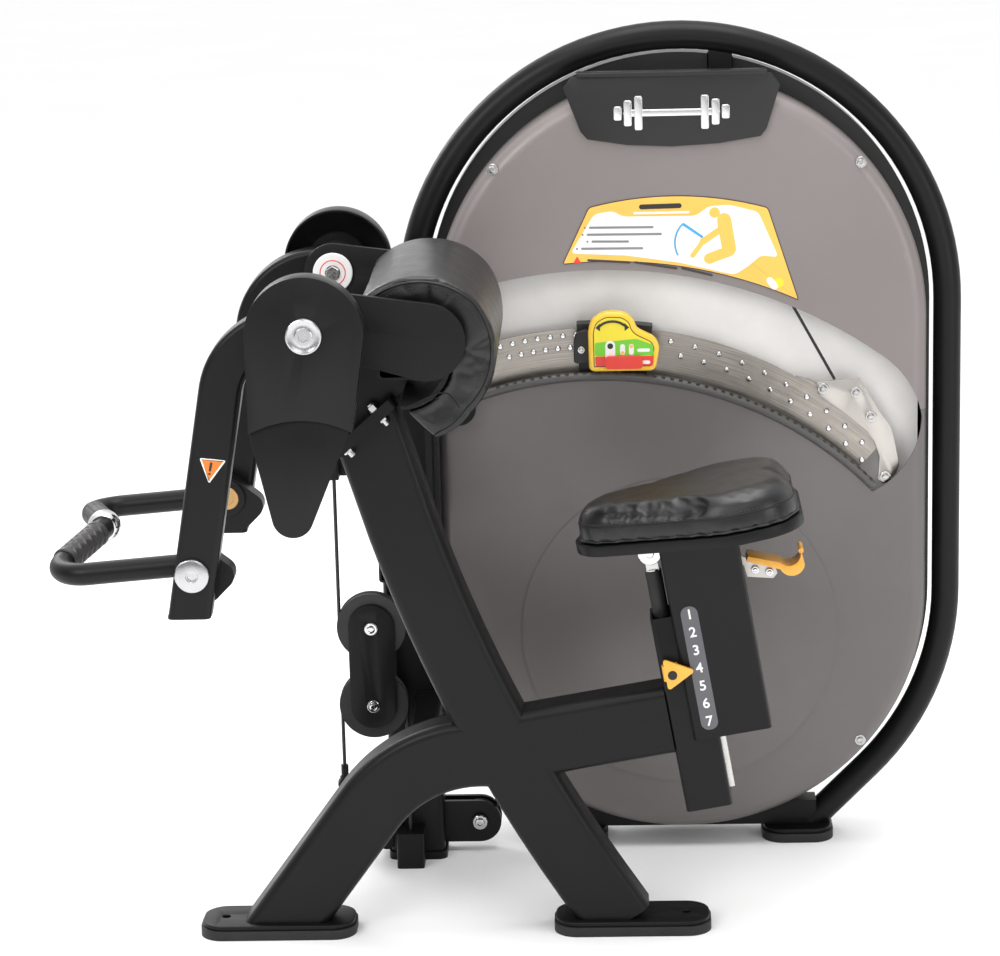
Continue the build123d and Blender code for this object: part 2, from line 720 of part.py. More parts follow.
def instruction_placard():
    """The fan shaped instruction card above the window."""
    outline = [
        ThreePointArc((148, 1154), (314, 1171), (453, 1148)),
        Line((453, 1148), (505, 986)),
        ThreePointArc((505, 986), (318, 1046), (101, 1056)),
        Line((101, 1056), (148, 1154)),
    ]
    face = fillet(make_face(Curve() + outline).vertices(), 9)
    return slab(face, SHROUD_FRONT - 1.2, SHROUD_FRONT)


def shroud_screws():
    """The screws that hold the shrouds to their brackets."""
    screws = []
    for x, z in ((-14, 1222), (610, 1222), (-14, 196), (610, 196)):
        screw = disc(x, z, 9, SHROUD_FRONT - 4, SHROUD_FRONT)
        screws.append(screw)
    return Compound(children=screws)


def inner_panel():
    """The pale panel behind the window, on two stand-offs to the back."""
    panel = window_backing()
    sheet = slab(panel, 424, 427)
    for x, z in ((-60, 940), (640, 800), (300, 1050)):
        sheet += disc(x, z, 9, 426, SHROUD_BACK - SHELL)
    return sheet


def window_backing():
    """The window's outline, 18 larger all round and cut to the casing."""
    band = Pos(150, 40) * Circle(1016) - Pos(*ARC_CENTRE) * Circle(600)
    casing = oval(SHROUD_HALF - 12, SHROUD_TOP_CENTRE, SHROUD_LOW_CENTRE)
    return band & casing & (Pos(AXIS_X, 843) * Rectangle(900, 464))


# Lifting gear in the tower --------------------------------------------------
LEVER_LOW, LEVER_HIGH = -19.5, 43.0
STUD_FINE, STUD_COARSE = 1.73, 3.4       # angles between studs beside the light and heavy ends
STUD_ROWS = (729.0, 707.5)
LEVER_TIP = ((500, 849), (520, 843), (606, 841), (640, 786), (660, 752), (669, 722), (674, 690),
             (667, 674), (650, 662), (622, 640), (560, 680))


def stud_angles():
    """Where the studs of the outer row stand, as angles from straight up."""
    fine = [-13.1 + STUD_FINE * step for step in range(7)]
    coarse = [10.3 + STUD_COARSE * step for step in range(10)]
    return fine, coarse


def stud_place(row, angle):
    """A stud's centre: the rows bend slightly more than the lever's own arc."""
    return on_arc(row - 0.0125 * (angle + 7) ** 2, angle)


def weight_lever():
    """The stainless arc plate with a hub at its hinge and two rows of studs."""
    y_high = LEVER_Y + LEVER_THICK
    outline = arc_band(ARC_OUTER, ARC_INNER, LEVER_LOW, LEVER_HIGH)
    outline = outline & (Pos(146, 262) * Circle(683)) + Polygon(*LEVER_TIP, align=None)
    plate = slab(outline, LEVER_Y, y_high)
    plate += disc(*LEVER_PIVOT, 34, LEVER_Y - 4, y_high + 4)
    plate -= disc(*LEVER_PIVOT, 10 + RUNNING, LEVER_Y - 10, y_high + 10)
    for angles, offset in zip(stud_angles(), (STUD_FINE / 2, STUD_COARSE / 2)):
        for angle in angles:
            plate += disc(*stud_place(STUD_ROWS[0], angle), 4, LEVER_Y - 3, LEVER_Y)
            plate += disc(*stud_place(STUD_ROWS[1], angle + offset), 4, LEVER_Y - 3, LEVER_Y)
    return plate


BRACKET_BOLTS = ((547, 828), (603.5, 820.5), (629, 777), (654, 670))


def end_bracket():
    """The bracket at the lever's outer end, with its bolts."""
    outline = Polygon((534, 838), (609, 845), (643, 787), (664, 757), (671, 728), (678, 691),
                      (672, 674), (652, 656), (641, 664), (644, 706), (635, 732), (621, 752),
                      (583, 784), (540, 815), align=None)
    outline = fillet(outline.vertices(), 4)
    plate = slab(outline, LEVER_Y - 8, LEVER_Y - 3.2)
    for x, z in BRACKET_BOLTS:
        plate += disc(x, z, 8.5, LEVER_Y - 13, LEVER_Y - 3.2)
    return plate


def rod_head(angle):
    return on_arc(ROD_PIN_R, angle)


def selector_grip():
    """The mitt shaped grip of the weight selector."""
    outline = Polygon((144, 892), (146, 950), (166, 974), (214, 974), (262, 938),
                      (264, 886), (238, 872), (166, 872), align=None)
    outline = fillet(outline.vertices(), 12)
    return slab(outline, SHROUD_FRONT - 22, SHROUD_FRONT - 4)


def selector_slider():
    """The steel carriage that straddles the arc plate and carries the grip."""
    low, high = SELECTOR_ANGLE - 6.5, SELECTOR_ANGLE + 3.5
    front = arc_slab(ARC_OUTER + 10, 664, low, high, LEVER_Y - 14, LEVER_Y - 3.4)
    top = arc_slab(ARC_OUTER + 10, ARC_OUTER + 1, low, high, LEVER_Y - 14, LEVER_Y + 18)
    rear = arc_slab(ARC_OUTER + 10, ROD_PIN_R - 14, low + 3, high, LEVER_Y + 8, LEVER_Y + 14)
    neck = disc(*on_arc(708, SELECTOR_ANGLE), 16, SHROUD_FRONT - 4, LEVER_Y - 13)
    body = front + top + rear + neck
    return body - disc(*rod_head(SELECTOR_ANGLE), 6 + RUNNING, LEVER_Y, LEVER_Y + 30)


def selector_trigger():
    """The squeeze trigger on the grip's lower edge."""
    outline = Polygon((172, 900), (236, 900), (236, 878), (172, 878), align=None)
    outline = fillet(outline.vertices(), 6)
    return slab(outline, SHROUD_FRONT - 30, SHROUD_FRONT - 22.2)


def link_rod():
    """The rod that hangs the weights from the selector."""
    top, low = rod_head(SELECTOR_ANGLE), ARC_CENTRE
    y_low, y_high = LEVER_Y + 14.2, LEVER_Y + 21
    length = hypot(top[0] - low[0], top[1] - low[1])
    bar = Pos((top[0] + low[0]) / 2, (top[1] + low[1]) / 2) * Rot(0, 0, -SELECTOR_ANGLE)
    rod = slab(bar * Rectangle(18, length), y_low, y_high)
    rod += disc(*top, 15, y_low, y_high)
    rod += disc(*low, 20, y_low, y_high)
    rod -= disc(*low, 10, y_low - 1, y_high + 1)
    return rod + disc(*top, 6, LEVER_Y + 8, y_low + 1)


GUIDE_X = (82.0, 230.0)
GUIDE_Y = 472.0


def weight_block():
    """The block of steel plates that slides on the two guide rods."""
    x, z = ARC_CENTRE
    stack = block(x - 100, x + 100, 434, 510, z - 60, z + 80, 6)
    for guide_x in GUIDE_X:
        stack -= Pos(guide_x, GUIDE_Y, z) * Cylinder(9 + RUNNING, 400)
    return stack + disc(x, z, 9, 423, 435)


def guide_rods():
    """Two guide rods between bridges, on a leg that stands on the base beam."""
    x = ARC_CENTRE[0]
    rods = block(x - 98, x + 98, 452, 505, 118, 130, 6)
    rods += block(x + 20, x + 80, 452, 468, BEAM_Z + 22, 119)
    rods += block(x - 98, x + 98, 452, SHROUD_BACK - SHELL, 520, 532, 6)
    for guide_x in GUIDE_X:
        rods += Pos(guide_x, GUIDE_Y, 325) * Cylinder(9, 400)
    return rods


def pulley(x, z, radius, bore, middle_y, width=PULLEY_WIDE):
    """A grooved pulley with a bore."""
    half = width / 2
    profile = Polyline(
        (bore, -half), (radius, -half), (radius, -half + 3), (radius - 4 - CABLE_R, -2.5),
        (radius - 4 - CABLE_R, 2.5), (radius, half - 3), (radius, half), (bore, half), close=True)
    wheel = revolve(make_face(profile), Axis.Y)
    return Pos(x, middle_y, z) * wheel


def tower_pulley(place):
    return pulley(*place, SMALL_R, 8 + RUNNING, TOWER_CABLE_Y, 13)


# Floating pulley block and cables ------------------------------------------
def block_plates():
    """The two side plates of the floating block."""
    plates = []
    for side in (-1, 1):
        near = CABLE_Y + side * (PULLEY_WIDE / 2 + 2)
        low, high = sorted((near, near + side * 6))
        middle = Pos(BLOCK_X, sum(BLOCK_Z) / 2)
        plate = slab(middle * RectangleRounded(80, 222, 39.5), low, high)
        for z in BLOCK_Z:
            plate -= disc(BLOCK_X, z, 8, low - 1, high + 1)
        plates.append(plate)
    return Compound(children=plates)


def block_bolts():
    """The two bolts of the block, with round heads at the front."""
    bolts = []
    half = PULLEY_WIDE / 2 + 8
    for z in BLOCK_Z:
        bolt = disc(BLOCK_X, z, 8, CABLE_Y - half, CABLE_Y + half)
        bolt += disc(BLOCK_X, z, 11, CABLE_Y - half - 4, CABLE_Y - half)
        for side in (-1, 1):
            face = CABLE_Y + side * PULLEY_WIDE / 2
            low, high = sorted((face + side * 0.2, face + side * 2))
            bolt += ring(BLOCK_X, z, 14, 8, low, high)
        bolts.append(bolt)
    return Compound(children=bolts)


def block_pulley(z):
    return pulley(BLOCK_X, z, PULLEY_R, 8 + RUNNING, CABLE_Y)


def cable_fittings():
    """The fairlead below the cam and the two fixed ends of the cables."""
    lead = block(-306, -288, CABLE_Y - 14, POST[2] + 8, 704, 748, 3)
    lead -= Pos(CABLE_X, CABLE_Y, 720) * Cylinder(4.4, 200)
    right = CABLE_X + 2 * GROOVE_R
    upper = Pos(right, CABLE_Y, 578) * Cylinder(8, 24)
    lower = Pos(CABLE_X, CABLE_Y, 176) * Cylinder(6.5, 22)
    lower += Pos(CABLE_X, CABLE_Y, 162) * Cylinder(9, 8)
    lower += block(-254.5, -242.2, CABLE_Y - 12, POST[2] + 12, 30, 158)
    lower += block(CABLE_X - 12, -242.2, CABLE_Y - 12, CABLE_Y + 12, 150, 158, 4)
    return Compound(children=[lead, upper, lower])


def arm_cable():
    """The cable from the cam, through the fairlead and round the upper pulley."""
    turn = GROOVE_R
    right = CABLE_X + 2 * turn
    straight = Line(xz(CABLE_X, 748.0, CABLE_Y), xz(CABLE_X, BLOCK_Z[0], CABLE_Y))
    wrap = ThreePointArc(
        xz(CABLE_X, BLOCK_Z[0], CABLE_Y), xz(BLOCK_X, BLOCK_Z[0] - turn, CABLE_Y),
        xz(right, BLOCK_Z[0], CABLE_Y))
    rise = Line(xz(right, BLOCK_Z[0], CABLE_Y), xz(right, 566, CABLE_Y))
    return round_bar(Wire([straight.edge(), wrap.edge(), rise.edge()]), CABLE_R)


def cam_cable():
    """The cable between the cam and the fairlead."""
    x, z = PIVOT
    start = xz(x - CAM_R - 0.3, z, CABLE_Y)
    return round_bar(Line(start, xz(CABLE_X, 749, CABLE_Y)), CABLE_R)


def base_cable():
    """The cable from its anchor, over the lower pulley and down to the base."""
    turn = GROOVE_R
    right = CABLE_X + 2 * turn
    rise = Line(xz(CABLE_X, 187, CABLE_Y), xz(CABLE_X, BLOCK_Z[1], CABLE_Y))
    wrap = ThreePointArc(
        xz(CABLE_X, BLOCK_Z[1], CABLE_Y), xz(BLOCK_X, BLOCK_Z[1] + turn, CABLE_Y),
        xz(right, BLOCK_Z[1], CABLE_Y))
    fall = Line(xz(right, BLOCK_Z[1], CABLE_Y), xz(right, 24, CABLE_Y))
    return round_bar(Wire([rise.edge(), wrap.edge(), fall.edge()]), CABLE_R)


def tower_cable():
    """The cable's run in the tower, from the post's foot to the lever's end."""
    base_x, base_z = BASE_PULLEY
    corner_x, corner_z = CORNER_PULLEY
    top_x, top_z = TOP_PULLEY
    turn, y = SMALL_TURN, TOWER_CABLE_Y
    diagonal = turn * sin(radians(45))
    rise_x = base_x + turn
    reach = hypot(LEVER_EYE[0] - top_x, LEVER_EYE[1] - top_z)
    toward = atan2(LEVER_EYE[1] - top_z, LEVER_EYE[0] - top_x)
    leave = toward + acos(turn / reach)
    leave_point = (top_x + turn * cos(leave), top_z + turn * sin(leave))
    half_way = (leave + radians(90)) / 2
    pieces = [
        Line(xz(POST[1] + 0.2, base_z - turn, y), xz(base_x, base_z - turn, y)),
        ThreePointArc(
            xz(base_x, base_z - turn, y), xz(base_x + diagonal, base_z - diagonal, y),
            xz(rise_x, base_z, y)),
        Line(xz(rise_x, base_z, y), xz(rise_x, corner_z, y)),
        ThreePointArc(
            xz(rise_x, corner_z, y), xz(corner_x - diagonal, corner_z + diagonal, y),
            xz(corner_x, corner_z + turn, y)),
        Line(xz(corner_x, corner_z + turn, y), xz(top_x, top_z + turn, y)),
        ThreePointArc(
            xz(top_x, top_z + turn, y),
            xz(top_x + turn * cos(half_way), top_z + turn * sin(half_way), y),
            xz(*leave_point, y)),
        Line(xz(*leave_point, y), xz(*LEVER_EYE, y)),
    ]
    return round_bar(Wire([piece.edge() for piece in pieces]), CABLE_R - 0.6)


# Seat -----------------------------------------------------------------------
def local_box(u_low, u_high, y_low, y_high, w_low, w_high, radius=0.0):
    """A box in the seat's leaning frame."""
    return seat_frame() * block(u_low, u_high, y_low, y_high, w_low, w_high, radius)


def seat_mast():
    """The fixed hollow mast, with the gas spring's rod standing on its closed foot."""
    mast = local_box(-38.5, 38.5, -38, 38, 0, 335, 8)
    mast -= local_box(-34.5, 34.5, -34, 34, 6, 336, 5)
    return mast + seat_frame() * Pos(-20, 0, 120) * Cylinder(5, 230)


def adjust_rack():
    """The stainless strip with one hole for each seat height."""
    rack = local_box(38.5, 47, -16, 16, 24, 330)
    for stop in range(SEAT_STOPS):
        height = LOCK_HEIGHT + SEAT_PITCH * (stop - SEAT_STOPS // 2)
        rack -= seat_frame() * Pos(48, 0, height) * Rot(0, 90, 0) * Cylinder(6.4, 30)
    return rack


def seat_carriage():
    """The channel that slides on the mast, with the seat's base plate."""
    shape = block(-4, 125, -47, 47, 122, 446, 8) - block(-10, 119, -41, 41, 128, 447)
    shape -= block(-10, 60, -41, 41, 100, 460)
    shape -= block(112, 130, -9, 9, 376, 447)
    shape += block(62, 72, -41.5, 41.5, 202, 228)
    shape -= Pos(66, 0, LOCK_HEIGHT) * Rot(0, 90, 0) * Cylinder(6 + RUNNING, 40)
    for y in (-16, 10):
        shape += block(84, 100, y, y + 6, 396, 447)
    shape += disc(92, 410, 5, -12, 12)
    shape += seat_plate()
    return seat_frame() * shape


def seat_plate():
    """The grey base plate under the seat pad, narrower towards the front."""
    front = Pos(-62, 0) * Circle(73)
    rear = [Pos(x, y) * Circle(79) for x, y in ((120, 66), (156, 60), (120, -66), (156, -60))]
    outline = make_hull((front + rear[0] + rear[1] + rear[2] + rear[3]).edges())
    hub = Pos(60.5, 0, 446) * extrude(RectangleRounded(129, 94, 8), 15)
    return hub + Pos(0, 0, 461) * extrude(outline, 17)


def seat_pad():
    """The seat cushion: a rounded nose that widens towards the back."""
    front = Pos(-62, 0) * Circle(71)
    rear = [Pos(x, y) * Circle(78) for x, y in ((120, 66), (156, 60), (120, -66), (156, -60))]
    outline = make_hull((front + rear[0] + rear[1] + rear[2] + rear[3]).edges())
    pad = Pos(0, 0, 478.3) * extrude(outline, 56)
    pad = fillet(pad.edges().group_by(Axis.Z)[-1], 22)
    return seat_frame() * pad


def number_strip():
    """The numbered strip on the carriage's near side."""
    size = RectangleRounded(28, 212, 13)
    strip = slab(Pos(26, 243.5) * size, -47.8, -47)
    return seat_frame() * strip


def seat_pointer():
    """The pointer on the mast that marks the seat height."""
    outline = Polygon((-30, 272), (-30, 217), (20, 243.5), align=None)
    outline = fillet(outline.vertices(), 4)
    pointer = slab(outline, -57, -51)
    pointer += block(-34, -8, -52, -38, 232, 258, 4)
    return seat_frame() * pointer


def gas_cylinder():
    """The gas spring's cylinder, which hangs from the seat plate."""
    body = Pos(-20, 0, 270) * Cylinder(13, 280)
    body += block(-30, -10, -9, 9, 408, 461)
    body -= Pos(-20, 0, 230) * Cylinder(5 + RUNNING, 200)
    return seat_frame() * body


def seat_lever():
    """The steel bell crank that frees the lock pin."""
    arm_shape = Polygon((82, 418), (82, 400), (72, 212), (82, 212), (98, 398), (127, 389), (129, 369),
                        (170, 359), (178, 366), (176, 380), (134, 399), (104, 420), align=None)
    plate = slab(arm_shape, -3, 3)
    plate -= disc(92, 410, 5 + RUNNING, -10, 10)
    for u, w in ((143.6, 379), (165.7, 371)):
        plate += disc(u, w, 6, -8, 8)
    return seat_frame() * plate


def lever_paddle():
    """The moulded finger paddle on the seat lever."""
    low = [(132, 400.5), (158, 388.8), (184, 377), (207, 363), (224, 378)]
    high = [(221, 401), (207, 381), (186, 388), (160, 402), (136, 408)]
    outline = make_face(Curve() + [
        Line(low[0], low[2]), ThreePointArc(low[2], low[3], low[4]), Line(low[4], high[0]),
        ThreePointArc(high[0], high[1], high[2]), Line(high[2], high[4]), Line(high[4], low[0])])
    return seat_frame() * slab(outline, -24, 24)


def lock_pin():
    """The sprung pin that locks the carriage to the rack."""
    pin = Pos(54.5, 0, LOCK_HEIGHT) * Rot(0, 90, 0) * Cylinder(6, 31)
    return seat_frame() * pin


# The node list --------------------------------------------------------------
NODES = {
    "diagonal_upright": upright,
    "front_leg": front_leg,
    "seat_tube": seat_tube,
    "foot_plates": lambda: foot_layer(FOOT_PAD, FOOT_TOP, 0, 7),
    "foot_pads": lambda: foot_layer(0, FOOT_PAD, 3, 10),
    "yoke_beam": yoke,
    "joint_bolts": joint_bolts,
    "pivot_ears": pivot_ears,
    "pad_board": pad_board,
    "elbow_pad": elbow_pad,
    "pivot_covers": lambda: Compound(children=[*pivot_covers().solids(), cable_guard()]),
    "pivot_axles": pivot_axles,
    "pivot_caps": pivot_caps,
    "arm_near": lambda: arm(-1),
    "arm_far": lambda: arm(1),
    "arm_bushes": arm_bushes,
    "cable_cam": cam,
    "handle_pins": handle_pins,
    "handle_tube": handle_tube,
    "hand_grips": hand_grips,
    "grip_collar": grip_collar,
    "cross_links": cross_links,
    "near_post": near_post,
    "tower_loop": tower_loop,
    "upper_shroud": upper_shroud,
    "lower_shroud": lower_shroud,
    "window_lip": window_lip,
    "back_shroud": back_shroud,
    "header_plate": header_plate,
    "instruction_placard": instruction_placard,
    "shroud_screws": shroud_screws,
    "inner_panel": inner_panel,
    "weight_lever": weight_lever,
    "end_bracket": end_bracket,
    "selector_grip": selector_grip,
    "selector_slider": selector_slider,
    "selector_trigger": selector_trigger,
    "link_rod": link_rod,
    "weight_block": weight_block,
    "guide_rods": guide_rods,
    "base_pulley": lambda: tower_pulley(BASE_PULLEY),
    "corner_pulley": lambda: tower_pulley(CORNER_PULLEY),
    "top_pulley": lambda: tower_pulley(TOP_PULLEY),
    "block_plates": block_plates,
    "block_bolts": block_bolts,
    "upper_pulley": lambda: block_pulley(BLOCK_Z[0]),
    "lower_pulley": lambda: block_pulley(BLOCK_Z[1]),
    "cable_fittings": cable_fittings,
    "arm_cable": lambda: Compound(children=[cam_cable(), arm_cable()]),
    "base_cable": lambda: Compound(children=[base_cable(), tower_cable()]),
    "seat_mast": seat_mast,
    "adjust_rack": adjust_rack,
    "seat_carriage": seat_carriage,
    "seat_pad": seat_pad,
    "number_strip": number_strip,
    "seat_pointer": seat_pointer,
    "gas_spring": gas_cylinder,
    "seat_lever": seat_lever,
    "lever_paddle": lever_paddle,
    "lock_pin": lock_pin,
}


def save(shape, node):
    """Save one node about the middle of the machine's footprint."""
    placed = Pos(-FOOTPRINT_CENTRE[0], -FOOTPRINT_CENTRE[1], 0) * shape
    export_step(placed, f"parts/{node}.step")


def main():
    os.makedirs("parts", exist_ok=True)
    for node, make in NODES.items():
        save(make(), node)


if __name__ == "__main__":
    main()
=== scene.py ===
"""Looks of the preacher curl machine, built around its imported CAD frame.

Metres in the saved frame. `at` takes millimetres in the drawing's own frame, whose
place is read from the elbow pivot, and `seat_at` takes millimetres in the leaning
frame of the seat.
"""
import json
from math import acos, atan2, cos, hypot, pi, radians, sin, sqrt

import bmesh
import bpy
from mathutils import Matrix, Vector
from mathutils.bvhtree import BVHTree


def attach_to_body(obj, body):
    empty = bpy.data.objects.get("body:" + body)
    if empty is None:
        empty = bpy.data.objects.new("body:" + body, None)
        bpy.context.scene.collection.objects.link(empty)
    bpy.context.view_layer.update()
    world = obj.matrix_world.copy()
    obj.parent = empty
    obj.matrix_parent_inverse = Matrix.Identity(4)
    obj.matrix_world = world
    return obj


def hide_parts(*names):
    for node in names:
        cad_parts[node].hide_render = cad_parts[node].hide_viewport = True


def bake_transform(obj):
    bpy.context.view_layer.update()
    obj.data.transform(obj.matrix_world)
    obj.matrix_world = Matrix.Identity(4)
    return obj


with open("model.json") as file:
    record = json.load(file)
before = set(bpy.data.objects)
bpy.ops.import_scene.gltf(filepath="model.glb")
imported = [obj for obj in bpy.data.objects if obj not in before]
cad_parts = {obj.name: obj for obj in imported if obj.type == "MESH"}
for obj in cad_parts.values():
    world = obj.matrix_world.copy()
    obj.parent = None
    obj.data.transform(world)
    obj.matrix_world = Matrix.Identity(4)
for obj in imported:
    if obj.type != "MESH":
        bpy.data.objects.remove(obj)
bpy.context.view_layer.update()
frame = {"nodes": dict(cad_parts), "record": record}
JOINTS = {joint["name"]: joint for joint in frame["record"]["behaviour"]["joints"]}
NODES = frame["nodes"]

# Driving places, in the drawing's millimetres ----------------------------------
PIVOT = (-277.0, 1080.0)
HAND = (-469.0, 697.0)
DRAWING = Vector(JOINTS["arm_swing"]["pos_m"]) - Vector((PIVOT[0], 0, PIVOT[1])) / 1000
SEAT_BASE = (333.0, 217.0)
SEAT_LEAN = radians(9.6)
ARC_CENTRE = (156.0, 200.0)
CASING_FRONT = 374.0
ARM_OUTER = 290.0
COVER_FACE = 340.0
BADGE_FACE, BADGE_THICK = 205.0, 6.0
HUB_FACE = 204.0
LEVER_FACE = 400.0
MITT_FACE = 352.0
STRIP_MIDDLE, STRIP_FACE, DIGIT_STEP = (26.3, 243.7), -48.1, 30.6
SIDES = ((-1, "near"), (1, "far"))
CABLE = {"x": -297.0, "y": 302.0, "turn": 56.0, "upper": 440.0, "lower": 300.0, "r": 3.2}
BLOCK_X = CABLE["x"] + CABLE["turn"]
FAIRLEAD_Z = 749.0                       # where the arm cable leaves the fairlead
ARM_CABLE_END = 566.0                    # its anchor above the block
BASE_FITTING_Z = 187.0                   # where the base cable starts
BASE_BEAM_Z = 24.0                       # where it goes into the beam
TOWER_CABLE_Y = 386.0
TOWER_CABLE_R = 0.0026                   # in metres
LEVER_EYE = (566.0, 845.0)
SMALL_TURN = 30.0
CAM_R = 45.0
STUD_ROWS = (729.0, 707.5)
STUD_GROUPS = ((-13.1, 1.73, 7), (10.3, 3.4, 10))     # first angle, step and count


def at(x, y, z):
    """A point of the drawing, in metres of the saved frame."""
    return Vector((x, y, z)) / 1000 + DRAWING


def seat_at(u, y, w):
    """A point of the seat's leaning frame."""
    x = SEAT_BASE[0] + u * cos(SEAT_LEAN) - w * sin(SEAT_LEAN)
    z = SEAT_BASE[1] + u * sin(SEAT_LEAN) + w * cos(SEAT_LEAN)
    return at(x, y, z)


def joint_drawing(name):
    """A joint's X and Z in the drawing's millimetres."""
    place = (Vector(JOINTS[name]["pos_m"]) - DRAWING) * 1000
    return place.x, place.z


# Materials -----------------------------------------------------------------------
def material(name, color, rough, metallic=0.0, **sockets):
    """A new material with its plain values set on the shader itself."""
    made = bpy.data.materials.new(name)
    made.use_nodes = True
    shader = surface(made)
    shader.inputs["Base Color"].default_value = (*color, 1)
    shader.inputs["Roughness"].default_value = rough
    shader.inputs["Metallic"].default_value = metallic
    for socket, value in sockets.items():
        shader.inputs[socket.replace("_", " ")].default_value = value
    return made


def add(made, kind, **values):
    """A shader node with some of its inputs set."""
    node = made.node_tree.nodes.new(kind)
    for name, value in values.items():
        node.inputs[name.replace("_", " ")].default_value = value
    return node


def link(made, source, target):
    made.node_tree.links.new(source, target)


def surface(made):
    """The material's own shader."""
    return made.node_tree.nodes["Principled BSDF"]


def calculated(made, operation, first, second):
    """A maths node on two sockets or numbers."""
    node = add(made, "ShaderNodeMath")
    node.operation = operation
    for socket, value in zip(node.inputs, (first, second)):
        if isinstance(value, (int, float)):
            socket.default_value = value
        else:
            link(made, value, socket)
    return node.outputs["Value"]


def place_of(made):
    """Object coordinates, in metres."""
    return add(made, "ShaderNodeTexCoord").outputs["Object"]


def mottle(made, color, amount, scale, place=None):
    """Slow variation of the colour."""
    noise = add(made, "ShaderNodeTexNoise", Scale=scale, Detail=4.0, Roughness=0.6)
    link(made, place or place_of(made), noise.inputs["Vector"])
    ramp = add(made, "ShaderNodeValToRGB")
    for stop, position, factor in zip(ramp.color_ramp.elements, (0.3, 0.7), (1 - amount, 1 + amount)):
        stop.position = position
        stop.color = (*[min(1, c * factor) for c in color], 1)
    link(made, noise.outputs["Fac"], ramp.inputs["Fac"])
    link(made, ramp.outputs["Color"], surface(made).inputs["Base Color"])


def vary_roughness(made, low, high, scale, place=None):
    """Roughness that wanders between two values."""
    noise = add(made, "ShaderNodeTexNoise", Scale=scale, Detail=5.0, Roughness=0.65)
    link(made, place or place_of(made), noise.inputs["Vector"])
    spread = add(made, "ShaderNodeMapRange", From_Min=0.3, From_Max=0.7, To_Min=low, To_Max=high)
    link(made, noise.outputs["Fac"], spread.inputs["Value"])
    link(made, spread.outputs["Result"], surface(made).inputs["Roughness"])


def bump(made, height, strength, distance):
    """Bump from a height, laid over any bump that is there."""
    node = add(made, "ShaderNodeBump", Strength=strength, Distance=distance)
    link(made, height, node.inputs["Height"])
    normal = surface(made).inputs["Normal"]
    if normal.is_linked:
        link(made, normal.links[0].from_socket, node.inputs["Normal"])
    link(made, node.outputs["Normal"], normal)


def grain(made, scale, strength, distance, detail=3.0):
    """Fine noise bump."""
    noise = add(made, "ShaderNodeTexNoise", Scale=scale, Detail=detail, Roughness=0.6)
    link(made, place_of(made), noise.inputs["Vector"])
    bump(made, noise.outputs["Fac"], strength, distance)


def leather(made, scale, strength, distance):
    """Pebbled grain of vinyl."""
    cells = add(made, "ShaderNodeTexVoronoi", Scale=scale, Randomness=1.0)
    cells.feature = "DISTANCE_TO_EDGE"
    link(made, place_of(made), cells.inputs["Vector"])
    clip = add(made, "ShaderNodeMapRange", From_Min=0.0, From_Max=0.35, To_Min=0.0, To_Max=1.0)
    link(made, cells.outputs["Distance"], clip.inputs["Value"])
    bump(made, clip.outputs["Result"], strength, distance)


def powder_coat(name, color=(0.0045, 0.0045, 0.0047), low=0.34, high=0.46):
    made = material(name, color, 0.4, 0.0, Specular_IOR_Level=0.22)
    mottle(made, color, 0.12, 7)
    vary_roughness(made, low, high, 14)
    grain(made, 1500, 0.16, 0.0004)
    return made


def plastic(name, color, low, high, **sockets):
    made = material(name, color, low, **sockets)
    mottle(made, color, 0.05, 9)
    vary_roughness(made, low, high, 25)
    grain(made, 2400, 0.12, 0.0003)
    return made


def vinyl(name):
    color = (0.0045, 0.0043, 0.0043)
    made = material(name, color, 0.32, 0.0, Specular_IOR_Level=0.4, Coat_Weight=0.15, Coat_Roughness=0.22)
    mottle(made, color, 0.18, 18)
    vary_roughness(made, 0.28, 0.4, 30)
    leather(made, 900, 0.16, 0.0005)
    grain(made, 30, 0.05, 0.001)
    return made


def casing(name, color, metallic):
    """Moulded metallic grey with a very fine speckle."""
    made = material(name, color, 0.4, metallic, Specular_IOR_Level=0.5)
    mottle(made, color, 0.06, 2.2)
    vary_roughness(made, 0.36, 0.46, 40)
    grain(made, 1900, 0.14, 0.0003)
    return made


def polished(name, color=(0.6, 0.6, 0.61), low=0.07, high=0.16):
    made = material(name, color, low, 1.0)
    mottle(made, color, 0.05, 60)
    vary_roughness(made, low, high, 120)
    return made


def polar_place(made, centre, around, along):
    """Coordinates that stretch round a centre, for steel brushed along an arc."""
    split = add(made, "ShaderNodeSeparateXYZ")
    link(made, place_of(made), split.inputs["Vector"])
    x = calculated(made, "SUBTRACT", split.outputs["X"], centre.x)
    z = calculated(made, "SUBTRACT", split.outputs["Z"], centre.z)
    flat = add(made, "ShaderNodeCombineXYZ")
    link(made, x, flat.inputs["X"])
    link(made, z, flat.inputs["Y"])
    length = add(made, "ShaderNodeVectorMath")
    length.operation = "LENGTH"
    link(made, flat.outputs["Vector"], length.inputs[0])
    turn = calculated(made, "ARCTAN2", x, z)
    out = add(made, "ShaderNodeCombineXYZ")
    link(made, calculated(made, "MULTIPLY", length.outputs["Value"], along), out.inputs["X"])
    link(made, calculated(made, "MULTIPLY", turn, around), out.inputs["Y"])
    return out.outputs["Vector"]


